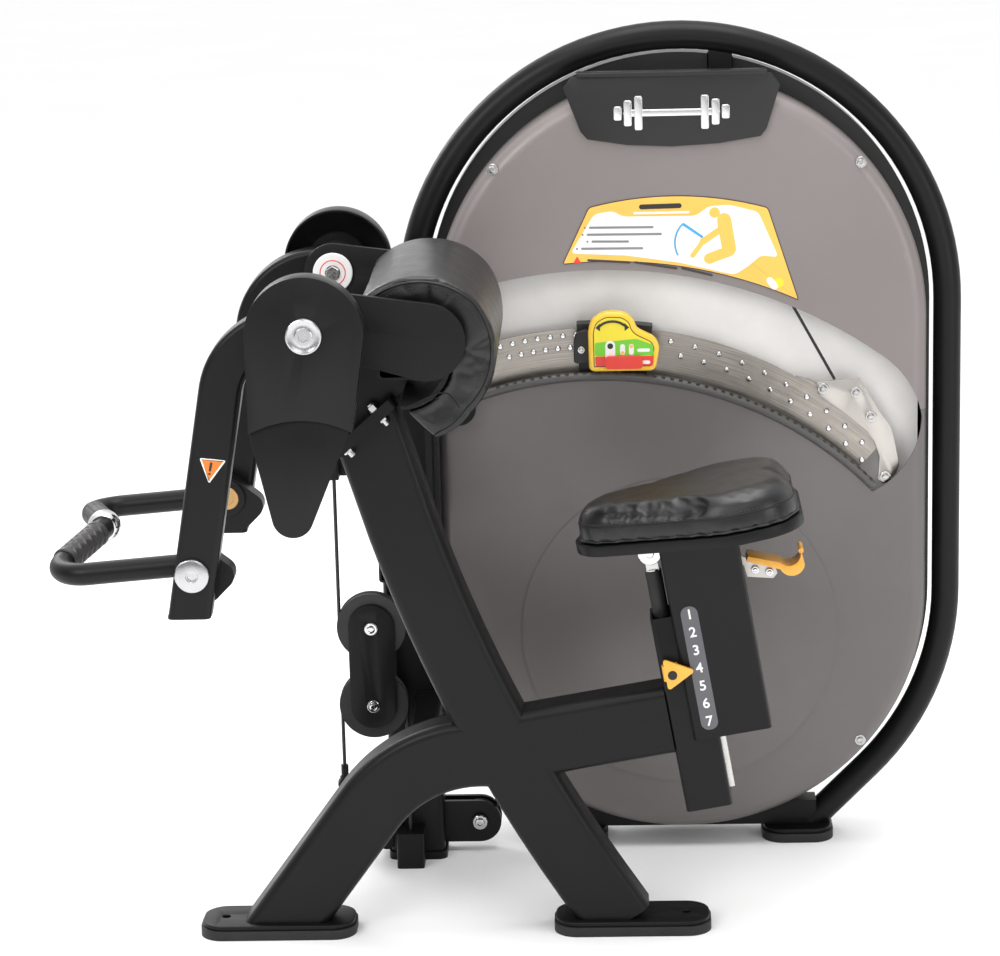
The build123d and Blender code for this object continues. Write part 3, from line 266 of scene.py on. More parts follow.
def brushed_arc(name):
    """Stainless steel brushed along the lever's arc, with cloudy patches."""
    color = (0.36, 0.332, 0.300)
    made = material(name, color, 0.3, 1.0)
    place = polar_place(made, at(ARC_CENTRE[0], 0, ARC_CENTRE[1]), 5.0, 900.0)
    mottle(made, color, 0.4, 1.0, place)
    vary_roughness(made, 0.24, 0.46, 1.0, place)
    noise = add(made, "ShaderNodeTexNoise", Scale=1.5, Detail=3.0)
    link(made, place, noise.inputs["Vector"])
    bump(made, noise.outputs["Fac"], 0.12, 0.0004)
    clouds = add(made, "ShaderNodeTexNoise", Scale=22.0, Detail=3.0)
    link(made, place_of(made), clouds.inputs["Vector"])
    bump(made, clouds.outputs["Fac"], 0.3, 0.004)
    return made


def brushed(name, color, stretch=(3, 3, 260), low=0.22, high=0.4):
    """Straight brushed metal."""
    made = material(name, color, low, 1.0)
    mapping = add(made, "ShaderNodeMapping")
    mapping.inputs["Scale"].default_value = stretch
    link(made, place_of(made), mapping.inputs["Vector"])
    mottle(made, color, 0.06, 2.0, mapping.outputs["Vector"])
    vary_roughness(made, low, high, 2.0, mapping.outputs["Vector"])
    return made


MAT = {
    "frame": powder_coat("frame_powder_coat"),
    "arm": powder_coat("arm_powder_coat", (0.0045, 0.0045, 0.0047), 0.3, 0.42),
    "ear": powder_coat("ear_powder_coat", (0.0042, 0.0042, 0.0044), 0.46, 0.56),
    "vinyl": vinyl("black_vinyl"),
    "thread": plastic("thread", (0.028, 0.027, 0.027), 0.55, 0.7),
    "cover": plastic("cover_plastic", (0.0055, 0.0048, 0.005), 0.32, 0.42, Specular_IOR_Level=0.24),
    "guard": plastic("guard_plastic", (0.0045, 0.0045, 0.0047), 0.5, 0.6, Specular_IOR_Level=0.22),
    "board": plastic("board", (0.006, 0.006, 0.006), 0.5, 0.62, Specular_IOR_Level=0.3),
    "rubber": plastic("black_rubber", (0.010, 0.010, 0.010), 0.55, 0.75),
    "grip": plastic("grip_rubber", (0.030, 0.028, 0.028), 0.4, 0.56),
    "chrome": polished("chrome"),
    "zinc": polished("zinc_plate", (0.50, 0.49, 0.48), 0.18, 0.32),
    "satin_cap": polished("satin_cap", (0.50, 0.50, 0.51), 0.2, 0.3),
    "arc": brushed_arc("brushed_arc"),
    "stainless": brushed("stainless_strip", (0.58, 0.56, 0.54)),
    "bracket": brushed("bracket_steel", (0.52, 0.49, 0.46), (4, 4, 4), 0.34, 0.4),
    "bronze": polished("bush_bronze", (0.48, 0.30, 0.13), 0.25, 0.4),
    "casing_top": casing("casing_top", (0.225, 0.200, 0.194), 0.25),
    # The lower casing is the same grey as the upper one; its darker colour is painted shade for the shade
    # that falls on it.
    "casing_low_shaded": casing("casing_low_shaded", (0.150, 0.137, 0.135), 0.3),
    "lip": plastic("lip_plastic", (0.078, 0.073, 0.072), 0.3, 0.4),
    "panel": plastic("panel_pale", (0.78, 0.76, 0.74), 0.42, 0.52),
    "header": plastic("header_charcoal", (0.017, 0.016, 0.016), 0.34, 0.44, Specular_IOR_Level=0.35),
    "emblem": polished("emblem_silver", (0.72, 0.72, 0.73), 0.16, 0.24),
    "yellow": plastic("yellow_plastic", (0.86, 0.54, 0.04), 0.22, 0.3, Coat_Weight=0.3),
    "amber": plastic("amber_plastic", (0.84, 0.41, 0.045), 0.3, 0.4, Coat_Weight=0.15),
    "caution": plastic("caution_orange", (0.86, 0.19, 0.015), 0.34, 0.42),
    "card_edge": plastic("card_edge", (0.045, 0.03, 0.032), 0.4, 0.5),
    "strip": plastic("strip_grey", (0.098, 0.098, 0.108), 0.34, 0.42),
    "seat_plate": plastic("seat_plate_grey", (0.088, 0.083, 0.080), 0.4, 0.5),
    "nylon": plastic("nylon_black", (0.013, 0.013, 0.013), 0.38, 0.5),
    "cable": plastic("cable_jacket", (0.010, 0.010, 0.010), 0.34, 0.46),
    "weights": powder_coat("weight_paint", (0.018, 0.018, 0.018), 0.5, 0.62),
}

PRINTS = {                               # colour, then the range of roughness
    "yellow": ((0.80, 0.66, 0.03), 0.3, 0.36),
    "green": ((0.16, 0.55, 0.03), 0.3, 0.36),
    "red": ((0.72, 0.045, 0.03), 0.3, 0.36),
    "orange": ((0.90, 0.50, 0.09), 0.34, 0.42),
    "white": ((0.80, 0.80, 0.79), 0.34, 0.42),
    "black": ((0.016, 0.015, 0.015), 0.34, 0.42),
    "grey": ((0.22, 0.22, 0.22), 0.4, 0.5),
    "blue": ((0.05, 0.36, 0.68), 0.34, 0.42),
}
MAT.update({f"print_{hue}": plastic(f"print_{hue}", *values) for hue, values in PRINTS.items()})

NODE_MATERIALS = {
    "frame": "diagonal_upright front_leg seat_tube foot_plates yoke_beam cross_links near_post"
             " tower_loop seat_mast block_plates cable_fittings cable_cam handle_tube seat_carriage",
    "arm": "arm_near arm_far",
    "ear": "pivot_ears",
    "rubber": "foot_pads",
    "zinc": "joint_bolts pivot_axles block_bolts guide_rods lock_pin gas_spring shroud_screws",
    "vinyl": "elbow_pad seat_pad",
    "board": "pad_board",
    "cover": "pivot_covers",
    "satin_cap": "pivot_caps handle_pins",
    "chrome": "grip_collar",
    "bronze": "arm_bushes",
    "grip": "hand_grips",
    "casing_top": "upper_shroud",
    "casing_low_shaded": "lower_shroud",
    "lip": "window_lip",
    # On the back shroud the header's charcoal is painted shade for the shadowed gap behind the tower loop.
    "header": "header_plate selector_slider back_shroud",
    "print_red": "selector_trigger",
    "card_edge": "instruction_placard",
    "panel": "inner_panel",
    "arc": "weight_lever",
    "bracket": "end_bracket seat_lever link_rod",
    "yellow": "selector_grip",
    "weights": "weight_block",
    "nylon": "base_pulley corner_pulley top_pulley upper_pulley lower_pulley",
    "cable": "arm_cable base_cable",
    "stainless": "adjust_rack",
    "strip": "number_strip",
    "amber": "seat_pointer lever_paddle",
}


def dress(piece, *names):
    """Give a piece its materials."""
    piece.data.materials.clear()
    for name in names:
        piece.data.materials.append(MAT[name])
    return piece


def dress_nodes():
    for name, nodes in NODE_MATERIALS.items():
        for node in nodes.split():
            dress(NODES[node], name)


# Mesh helpers ---------------------------------------------------------------------
def new_object(name, mesh, *materials):
    piece = bpy.data.objects.new(name, mesh)
    bpy.context.scene.collection.objects.link(piece)
    return dress(piece, *materials) if materials else piece


def from_bmesh(name, work, *materials, smooth=35):
    """A piece from a bmesh, smooth except over sharp edges."""
    bmesh.ops.recalc_face_normals(work, faces=work.faces)
    mesh = bpy.data.meshes.new(name)
    work.to_mesh(mesh)
    work.free()
    return soften(new_object(name, mesh, *materials), smooth)


def soften(piece, angle=35):
    piece.data.shade_smooth()
    piece.data.set_sharp_from_angle(angle=radians(angle))
    return piece


def apply_modifiers(piece):
    """Bake the piece's modifiers into its mesh."""
    graph = bpy.context.evaluated_depsgraph_get()
    graph.update()
    mesh = bpy.data.meshes.new_from_object(piece.evaluated_get(graph))
    old = piece.data
    piece.modifiers.clear()
    piece.data = mesh
    bpy.data.meshes.remove(old)
    return piece


def arc(a, b, c, count):
    """Points on the circle through a, b and c, from a to c."""
    (ax, ay), (bx, by), (cx, cy) = a, b, c
    d = 2 * (ax * (by - cy) + bx * (cy - ay) + cx * (ay - by))
    ux = ((ax**2 + ay**2) * (by - cy) + (bx**2 + by**2) * (cy - ay) + (cx**2 + cy**2) * (ay - by)) / d
    uy = ((ax**2 + ay**2) * (cx - bx) + (bx**2 + by**2) * (ax - cx) + (cx**2 + cy**2) * (bx - ax)) / d
    radius = hypot(ax - ux, ay - uy)
    start, middle, end = (atan2(y - uy, x - ux) for x, y in (a, b, c))
    turn = 1 if ((middle - start) % (2 * pi)) < ((end - start) % (2 * pi)) else -1
    sweep = ((end - start) % (2 * pi)) if turn > 0 else -((start - end) % (2 * pi))
    return [(ux + radius * cos(start + sweep * i / count), uy + radius * sin(start + sweep * i / count))
            for i in range(count + 1)]


def on_arc(radius, angle):
    """A point about the lever arc's centre; the angle is in degrees from straight up."""
    a = radians(angle)
    return ARC_CENTRE[0] + radius * sin(a), ARC_CENTRE[1] + radius * cos(a)


def band(outer, inner, low, high, count=24):
    """The outline of a band about the lever arc's centre."""
    steps = [low + (high - low) * i / count for i in range(count + 1)]
    return [on_arc(outer, a) for a in steps] + [on_arc(inner, a) for a in reversed(steps)]


def rounded(points, radius, count=5):
    """A polygon with its corners rounded."""
    out = []
    for i, (x, y) in enumerate(points):
        corner = Vector((x, y))
        before = Vector(points[i - 1]) - corner
        after = Vector(points[(i + 1) % len(points)]) - corner
        reach = min(radius, before.length * 0.48, after.length * 0.48)
        a, b = corner + before.normalized() * reach, corner + after.normalized() * reach
        for step in range(count + 1):
            t = step / count
            p = a * (1 - t) ** 2 + corner * 2 * t * (1 - t) + b * t * t
            out.append((p.x, p.y))
    return out


def inset(points, distance):
    """A closed outline moved inwards by a distance."""
    area = sum(points[i - 1][0] * points[i][1] - points[i][0] * points[i - 1][1] for i in range(len(points)))
    side = 1 if area > 0 else -1
    out = []
    for i, (x, y) in enumerate(points):
        before, after = points[i - 1], points[(i + 1) % len(points)]
        dx, dy = after[0] - before[0], after[1] - before[1]
        size = hypot(dx, dy) or 1
        out.append((x - side * dy / size * distance, y + side * dx / size * distance))
    return out


def skin(work, rings):
    """Faces between neighbouring rings of vertices, and one across each end."""
    for lower, upper in zip(rings, rings[1:]):
        for i in range(len(lower)):
            work.faces.new((lower[i - 1], lower[i], upper[i], upper[i - 1]))
    work.faces.new(rings[0])
    work.faces.new(rings[-1])


def slab(name, outline, y_face, depth, *materials, edge=0.0, place=at, smooth=35):
    """A flat piece with its outline in X and Z, its face at y_face towards -Y, with a rounded edge."""
    work = bmesh.new()
    rings = [[work.verts.new(place(x, y_face + depth, z)) for x, z in outline]]
    steps = 3 if edge else 0
    for step in range(steps + 1):
        a = radians(90) * step / steps if steps else 0
        inward = edge * (1 - cos(a)) if steps else 0
        y = y_face + (edge * (1 - sin(a)) if steps else 0)
        rings.append([work.verts.new(place(x, y, z)) for x, z in inset(outline, inward)])
    skin(work, rings)
    return from_bmesh(name, work, *materials, smooth=smooth)


def turned(name, centre, profile, material_name, side=-1, segments=48, hexagon=()):
    """A lathe piece about a line along Y. Rows are (radius, height out of the face);
    rows whose number is in hexagon are six sided."""
    work = bmesh.new()
    rows = []
    for number, (radius, height) in enumerate(profile):
        row = []
        for step in range(segments):
            a = 2 * pi * step / segments
            r = radius
            if number in hexagon:
                r = radius / cos((a + pi / 6) % (pi / 3) - pi / 6)
            row.append(work.verts.new(
                centre + Vector((r * cos(a), side * height, r * sin(a))) / 1000))
        rows.append(row)
    skin(work, rows)
    return from_bmesh(name, work, material_name, smooth=30)


def tube(name, points, radius, material_name, closed=False, segments=12):
    """A round tube through points in metres, with closed ends."""
    work = bmesh.new()
    rows = []
    count = len(points)
    reference = None
    for i, point in enumerate(points):
        if closed:
            ahead = (points[(i + 1) % count] - points[i - 1]).normalized()
        else:
            ahead = (points[min(i + 1, count - 1)] - points[max(i - 1, 0)]).normalized()
        if reference is None:
            reference = ahead.orthogonal().normalized()
        reference = (reference - ahead * reference.dot(ahead)).normalized()
        other = ahead.cross(reference)
        rows.append([work.verts.new(
            point + (reference * cos(2 * pi * s / segments) + other * sin(2 * pi * s / segments)) * radius)
            for s in range(segments)])
    pairs = list(zip(rows, rows[1:])) + ([(rows[-1], rows[0])] if closed else [])
    for lower, upper in pairs:
        shift = 0
        if closed and upper is rows[0]:
            shift = min(range(segments), key=lambda k: (lower[0].co - upper[k].co).length)
        for s in range(segments):
            a, b = (s - 1 + shift) % segments, (s + shift) % segments
            work.faces.new((lower[s - 1], lower[s], upper[b], upper[a]))
    if not closed:
        work.faces.new(rows[0])
        work.faces.new(rows[-1])
    return from_bmesh(name, work, material_name, smooth=60)


def joined(name, pieces):
    """Several pieces as one."""
    work = bmesh.new()
    materials = []
    for piece in pieces:
        for made in piece.data.materials:
            if made not in materials:
                materials.append(made)
    for piece in pieces:
        start = len(work.faces)
        work.from_mesh(piece.data)
        work.faces.ensure_lookup_table()
        for face in work.faces[start:]:
            face.material_index = materials.index(piece.data.materials[face.material_index])
    mesh = bpy.data.meshes.new(name)
    work.to_mesh(mesh)
    work.free()
    for piece in pieces:
        bpy.data.objects.remove(piece)
    made = new_object(name, mesh)
    for item in materials:
        mesh.materials.append(item)
    return made


def refined(node, width, body, slot, *materials, choose=None, angle=30):
    """A copy of a CAD node with rounded edges, which stands for the node."""
    work = bmesh.new()
    work.from_mesh(NODES[node].data)
    bmesh.ops.remove_doubles(work, verts=work.verts, dist=0.00002)
    bmesh.ops.dissolve_limit(
        work, angle_limit=radians(0.4), verts=work.verts, edges=work.edges, use_dissolve_boundaries=False)
    if choose:
        for face in work.faces:
            face.material_index = choose(face.calc_center_median())
    mesh = bpy.data.meshes.new(node + "_detail")
    work.to_mesh(mesh)
    work.free()
    piece = new_object(node + "_detail", mesh, *materials)
    bevel = piece.modifiers.new("edge", "BEVEL")
    bevel.width = width / 1000
    bevel.segments = 2
    bevel.limit_method = "ANGLE"
    bevel.angle_limit = radians(angle)
    bevel.use_clamp_overlap = True
    bevel.harden_normals = False
    apply_modifiers(piece)
    soften(piece, 40)
    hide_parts(node)
    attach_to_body(piece, body)
    return piece


def attach(piece, body):
    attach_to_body(piece, body)
    return piece


# Upholstery ----------------------------------------------------------------------
def solid_from_outline(name, outline, low, high, place):
    """A closed solid between two depths, from an outline."""
    work = bmesh.new()
    first = [work.verts.new(place(x, low, z)) for x, z in outline]
    second = [work.verts.new(place(x, high, z)) for x, z in outline]
    work.faces.new(first)
    work.faces.new(second)
    for i in range(len(outline)):
        work.faces.new((first[i - 1], first[i], second[i], second[i - 1]))
    return from_bmesh(name, work)


def remeshed(piece, size):
    voxels = piece.modifiers.new("voxels", "REMESH")
    voxels.mode = "VOXEL"
    voxels.voxel_size = size
    return apply_modifiers(piece)


def inflated(piece, allowed, pressure=4.0, frames=20):
    """Swell a closed mesh with cloth pressure, each point by no more than allowed(point)."""
    rest = [vertex.co.copy() for vertex in piece.data.vertices]
    cloth = piece.modifiers.new("cloth", "CLOTH")
    settings = cloth.settings
    settings.use_pressure = True
    settings.uniform_pressure_force = pressure
    settings.effector_weights.gravity = 0
    settings.quality = 5
    scene = bpy.context.scene
    cloth.point_cache.frame_start = 1
    cloth.point_cache.frame_end = frames
    for number in range(1, frames + 1):
        scene.frame_set(number)
    apply_modifiers(piece)
    scene.frame_set(1)
    for vertex, home in zip(piece.data.vertices, rest):
        move = vertex.co - home
        limit = allowed(home)
        if move.length > limit:
            vertex.co = home + move * (limit / move.length)
    return subdivided(piece)


def smoothed(piece, times):
    work = bmesh.new()
    work.from_mesh(piece.data)
    for _ in range(times):
        bmesh.ops.smooth_vert(
            work, verts=work.verts, factor=0.5, use_axis_x=True, use_axis_y=True, use_axis_z=True)
    work.to_mesh(piece.data)
    work.free()
    return piece


def subdivided(piece):
    finer = piece.modifiers.new("finer", "SUBSURF")
    finer.levels = 1
    finer.render_levels = 1
    apply_modifiers(piece)
    piece.data.shade_smooth()
    return piece


def surface_of(piece):
    work = bmesh.new()
    work.from_mesh(piece.data)
    tree = BVHTree.FromBMesh(work)
    work.free()
    return tree


def stitch_row(name, points, normals, long=0.0045, gap=0.0022, radius=0.0007):
    """A row of short thread stitches along a line, each a small low arch."""
    lengths = [0.0]
    for a, b in zip(points, points[1:]):
        lengths.append(lengths[-1] + (b - a).length)

    def along(distance):
        for i in range(1, len(lengths)):
            if lengths[i] >= distance:
                share = (distance - lengths[i - 1]) / max(lengths[i] - lengths[i - 1], 1e-9)
                return points[i - 1].lerp(points[i], share), normals[i]
        return points[-1], normals[-1]

    work = bmesh.new()
    distance = gap
    while distance + long < lengths[-1]:
        (start, normal), (end, _) = along(distance), along(distance + long)
        ahead = (end - start).normalized()
        across = ahead.cross(normal).normalized()
        rows = []
        for t, size in ((0.0, 0.3), (0.2, 0.9), (0.5, 1.0), (0.8, 0.9), (1.0, 0.3)):
            middle = start.lerp(end, t) + normal * radius * (size - 0.5)
            rows.append([work.verts.new(
                middle + (across * cos(2 * pi * s / 6) + normal * sin(2 * pi * s / 6)) * radius * size)
                for s in range(6)])
        skin(work, rows)
        distance += long + gap
    return from_bmesh(name, work, "thread", smooth=60)


ELBOW_INNER = arc((-140, 930), (-64, 1006), (-112, 1082), 16)
ELBOW_OUTER = (
    arc((-207, 1098), (-107, 1139), (-20, 1101), 16)
    + arc((-20, 1101), (6, 1030), (-36, 926), 20)[1:]
    + arc((-36, 926), (-62, 898), (-97, 883), 6)[1:])
ELBOW_HALF = 190.0


def elbow_pad():
    """The curled pad, blown up as cloth, with a piped end panel and its stitching."""
    outline = ELBOW_INNER + [(-207, 1056)] + ELBOW_OUTER
    shrunk = inset(outline, 2.0)
    pad = solid_from_outline("elbow_pad_cushion", shrunk, -ELBOW_HALF + 3, ELBOW_HALF - 3, at)
    remeshed(pad, 0.0045)
    smoothed(pad, 4)
    inner = [at(x, 0, z) for x, z in ELBOW_INNER]

    def allowed(point):
        near = min(hypot(point.x - p.x, point.z - p.z) for p in inner)
        return 0.0 if near < 0.010 else 0.005

    inflated(pad, allowed)
    dress(pad, "vinyl")
    attach(pad, "frame")
    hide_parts("elbow_pad")
    tree = surface_of(pad)
    for side, word in SIDES:
        normal = Vector((0, side, 0))

        def on_face(x, z, lift=0.0):
            start = at(x, side * 400, z)
            hit = tree.ray_cast(start, -normal)[0]
            return (hit if hit is not None else at(x, side * ELBOW_HALF, z)) + normal * lift

        def sewn(piece):
            return attach(piece, "frame")

        rim = [on_face(x, z, 0.0006) for x, z in inset(outline, 7.0)[len(ELBOW_INNER) + 1:]]
        sewn(tube(f"elbow_piping_{word}", rim, 0.0021, "vinyl", segments=10))
        line = [on_face(x, z, 0.0002) for x, z in inset(outline, 17.0)[len(ELBOW_INNER) + 2:-1]]
        sewn(stitch_row(f"elbow_stitches_{word}", line, [normal] * len(line)))
        flap = ((-138, 934), (-124, 941), (-110, 947.5), (-96, 954), (-82, 958), (-70, 954),
                (-58, 940), (-53, 931))
        seam = [on_face(x, z, 0.0002) for x, z in flap]
        sewn(tube(f"elbow_flap_seam_{word}", seam, 0.0011, "board", segments=8))
        offset = [on_face(x, z - 7, 0.0002) for x, z in flap[1:-1]]
        sewn(stitch_row(f"elbow_flap_stitches_{word}", offset, [normal] * len(offset)))


def hull_of_circles(circles, count=48):
    """The convex outline round several circles (x, y, radius)."""
    points = []
    for x, y, radius in circles:
        points += [(x + radius * cos(2 * pi * i / count), y + radius * sin(2 * pi * i / count))
                   for i in range(count)]
    points.sort()

    def half(sequence):
        chain = []
        for p in sequence:
            while len(chain) > 1 and ((chain[-1][0] - chain[-2][0]) * (p[1] - chain[-2][1])
                                      - (chain[-1][1] - chain[-2][1]) * (p[0] - chain[-2][0])) <= 0:
                chain.pop()
            chain.append(p)
        return chain[:-1]

    return half(points) + half(reversed(points))


def evenly(points, step):
    """A closed outline resampled at even steps."""
    closed = list(points) + [points[0]]
    out, carried = [], 0.0
    for (ax, ay), (bx, by) in zip(closed, closed[1:]):
        size = hypot(bx - ax, by - ay)
        distance = step - carried
        while distance <= size:
            t = distance / size
            out.append((ax + (bx - ax) * t, ay + (by - ay) * t))
            distance += step
        carried = (carried + size) % step
    return out


SEAT_OUTLINE = evenly(hull_of_circles(
    [(-62, 0, 71), (120, 66, 78), (156, 60, 78), (120, -66, 78), (156, -60, 78)]), 6.0)
SEAT_LOW, SEAT_HIGH = 478.3, 534.3


def seat_pad():
    """The seat cushion with its top seam, stitches and bottom edge."""
    work = bmesh.new()
    levels = [(3.0, SEAT_LOW + 1.5), (3.0, SEAT_HIGH - 30), (10, SEAT_HIGH - 14), (24, SEAT_HIGH - 4),
              (40, SEAT_HIGH - 1.5)]
    rows = [[work.verts.new(seat_at(u, y, w + (0.0 if w < SEAT_HIGH - 10 else 5.0 * (u / 230) ** 2)))
             for u, y in inset(SEAT_OUTLINE, d)] for d, w in levels]
    skin(work, rows)
    pad = from_bmesh("seat_cushion", work)
    remeshed(pad, 0.005)
    smoothed(pad, 5)
    base = seat_at(0, 0, SEAT_LOW)
    up = (seat_at(0, 0, 1) - seat_at(0, 0, 0)).normalized()

    def allowed(point):
        height = (point - base).dot(up)
        return 0.0 if height < 0.004 else 0.0025 + 0.0045 * min(1.0, height / 0.04)

    inflated(pad, allowed)
    dress(pad, "vinyl")
    attach(pad, "seat")
    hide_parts("seat_pad")
    tree = surface_of(pad)
    middle = seat_at(60, 0, 0)
    for name, w, lift, radius in (("seat_seam", SEAT_HIGH - 27, -0.0002, 0.0013),
                                  ("seat_bottom_edge", SEAT_LOW + 4, 0.0004, 0.0024)):
        line = []
        for u, y in SEAT_OUTLINE:
            out = seat_at(u, y, w)
            away = seat_at(60, 0, w)
            direction = (out - away).normalized()
            hit = tree.ray_cast(away + direction * 0.4, -direction)[0]
            line.append((hit if hit is not None else out) + direction * lift)
        attach(tube(name, line, radius, "board" if "seam" in name else "vinyl", closed=True, segments=8),
               "seat")
        if "seam" in name:
            stitched = [p + up * 0.0045 + (p - middle - up * (p - middle).dot(up)).normalized() * 0.0004
                        for p in line]
            snapped, normals = [], []
            for p in stitched:
                hit, normal = tree.find_nearest(p)[:2]
                snapped.append(hit)
                normals.append(normal)
            attach(stitch_row("seat_stitches", snapped + snapped[:1], normals + normals[:1]),
                   "seat")


# Turned fittings ------------------------------------------------------------------
CAP_PROFILE = [(28, 0), (28, 2.6), (27, 4.2), (25.2, 5.0), (23.4, 4.6), (21, 3.4), (16.5, 3.0), (14.2, 3.4),
               (13.6, 5.2), (12.6, 5.9), (8.6, 6.0), (7.2, 6.0), (6.9, 3.2), (0.6, 3.2)]
PIN_PROFILE = [(27, 0), (27, 4.2), (26, 6.0), (24, 6.9), (10, 7.0), (9.4, 6.2), (7.6, 6.1), (7.0, 6.0),
               (6.6, 3.6), (0.6, 3.6)]
SCREW_PROFILE = [(10, 0), (10, 1.0), (9.3, 1.5), (6.9, 1.6), (6.7, 3.6), (6.0, 4.8), (4.0, 5.3), (3.6, 5.3),
                 (3.4, 3.0), (0.4, 3.0)]


def fitting(name, x, y, z, profile, material_name, body, side=-1, hexagon=(), scale=1.0):
    """A turned cap, pin head or other part on a face at depth y."""
    rows = [(r * scale, h * scale) for r, h in profile]
    return attach(turned(name, at(x, y, z), rows, material_name, side, hexagon=hexagon), body)


def screw(name, x, y, z, material_name, body, scale=1.0):
    """A socket screw with its washer."""
    return fitting(name, x, y, z, SCREW_PROFILE, material_name, body, hexagon=(7, 8, 9), scale=scale)


def pivot_fittings():
    """Chrome caps outside the covers and the white badges inside the ears."""
    badge = [(33, 0), (33, 5.0), (32, 5.9), (31, 6.0), (0.6, 6.0)]
    bolt = [(13, 0), (13, 0.8), (10.5, 1.0), (10.4, 5.5), (9.6, 6.4), (0.6, 6.5)]
    for side, word in SIDES:
        fitting(f"pivot_cap_{word}", PIVOT[0], side * COVER_FACE, PIVOT[1], CAP_PROFILE,
                            "satin_cap", "frame", side, (11, 12, 13))
        face = side * BADGE_FACE
        fitting(f"pivot_badge_{word}", PIVOT[0], face, PIVOT[1], badge, "print_white",
                "frame", -side)
        face -= side * BADGE_THICK
        ring = [at(x, face, z) for x, z in circle(*PIVOT, 21, 48)]
        attach(tube(f"pivot_badge_ring_{word}", ring, 0.0009, "print_red", closed=True, segments=8),
               "frame")
        fitting(f"pivot_badge_bolt_{word}", PIVOT[0], face, PIVOT[1], bolt, "zinc",
                "frame", -side, (2, 3, 4))
    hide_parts("pivot_caps")


def hand_pins():
    """The pin heads outside the swing arms, their shafts, and the handle's hubs and rings."""
    heads = [fitting(f"handle_pin_{word}", HAND[0], side * ARM_OUTER, HAND[1], PIN_PROFILE, "satin_cap",
                     "arm", side, (7, 8, 9)) for side, word in SIDES]
    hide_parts("handle_pins")
    shaft = [(8, 0), (8, 83), (7.2, 84), (0.5, 84)]
    hub = [(30, 0), (30, 3.5), (28.6, 4.6), (20, 4.8), (0.5, 4.8)]
    ring = [(19, 0), (19, 6.2), (18, 7.0), (10.5, 7.0), (10, 6.0), (0.5, 6.0)]
    for side, word in SIDES:
        fitting(f"handle_shaft_{word}", HAND[0], side * ARM_OUTER, HAND[1], shaft, "zinc",
                "arm", -side)
    for side, word in SIDES:
        fitting(f"handle_hub_{word}", HAND[0], side * HUB_FACE, HAND[1], hub, "arm", "handle",
                -side)
        fitting(f"handle_ring_{word}", HAND[0], side * HUB_FACE, HAND[1], ring, "bronze", "handle",
                -side)


def screws():
    """Casing screws, pulley block bolts, bracket bolts and lever bolts."""
    casing = [screw(f"casing_screw_{i + 1}", x, CASING_FRONT, z, "zinc", "frame", 0.95)
              for i, (x, z) in enumerate(((-14, 1222), (610, 1222), (-14, 196), (610, 196)))]
    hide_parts("shroud_screws")
    for word in ("upper", "lower"):
        screw(f"block_screw_{word}", BLOCK_X, CABLE["y"] - 23, CABLE[word], "chrome", "pulley_block", 1.05)
    base = joint_drawing("base_pulley_turn")
    screw("base_pulley_screw", base[0], TOWER_CABLE_Y - 25, base[1], "chrome", "frame", 1.3)
    for i, (x, z) in enumerate(((547, 828), (603.5, 820.5), (629, 777), (654, 670))):
        screw(f"bracket_screw_{i + 1}", x, LEVER_FACE - 13, z, "zinc", "weight_lever")
    rows = [(r * 0.62, h * 0.62) for r, h in SCREW_PROFILE]
    for i, (u, w) in enumerate(((143.6, 379), (165.7, 371))):
        attach(turned(f"paddle_screw_{i + 1}", seat_at(u, -8, w), rows, "chrome", hexagon=(7, 8, 9)),
               "seat_lever")


# Handle grips -----------------------------------------------------------------------
HANDLE_TIP = Vector((-643.0, 0.0, 706.0))
HANDLE_END = Vector((-708.8, 220.0, 678.0))


def hand_grips():
    """Two rubber grips with a raised herringbone of crossing ribs and a plain cuff at each end."""
    for side, word in SIDES:
        end = Vector((HANDLE_END.x, HANDLE_END.y * side, HANDLE_END.z))
        start, stop = HANDLE_TIP.lerp(end, 0.17), HANDLE_TIP.lerp(end, 0.70)
        axis = (stop - start).normalized()
        reference = axis.orthogonal().normalized()
        other = axis.cross(reference)
        length = (stop - start).length
        rows_count, around = 150, 96
        work = bmesh.new()
        rows = []
        for i in range(rows_count + 1):
            s = i / rows_count * length
            row = []
            edge = min(s, length - s)
            for k in range(around):
                a = 2 * pi * k / around
                weave = max(sin(5 * a + s * 0.33), sin(5 * a - s * 0.33))
                ribs = 19.6 + 1.7 * max(0.0, weave) ** 0.7
                cuff = 20.6 + 0.8 * sqrt(max(0.0, 1 - ((edge - 4) / 4) ** 2)) if edge < 8 else ribs
                spot = start + axis * s + (reference * cos(a) + other * sin(a)) * cuff
                row.append(work.verts.new(at(*spot)))
            rows.append(row)
        skin(work, rows)
        grip = from_bmesh(f"hand_grip_{word}", work, "grip", smooth=70)
        attach(grip, "handle")
    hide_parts("hand_grips")


# Printed and moulded trim -----------------------------------------------------------
def print_on(name, outline, y_face, material_name, body, depth=0.25, place=at):
    return attach(slab(name, outline, y_face, depth, material_name, place=place), body)


def capsule(a, b, radius, count=8):
    """A rounded bar's outline between two points."""
    start = atan2(b[1] - a[1], b[0] - a[0])
    out = [(b[0] + radius * cos(start - pi / 2 + pi * i / count),
            b[1] + radius * sin(start - pi / 2 + pi * i / count)) for i in range(count + 1)]
    out += [(a[0] + radius * cos(start + pi / 2 + pi * i / count),
             a[1] + radius * sin(start + pi / 2 + pi * i / count)) for i in range(count + 1)]
    return out


def circle(x, z, radius, count=28):
    return [(x + radius * cos(2 * pi * i / count), z + radius * sin(2 * pi * i / count))
            for i in range(count)]


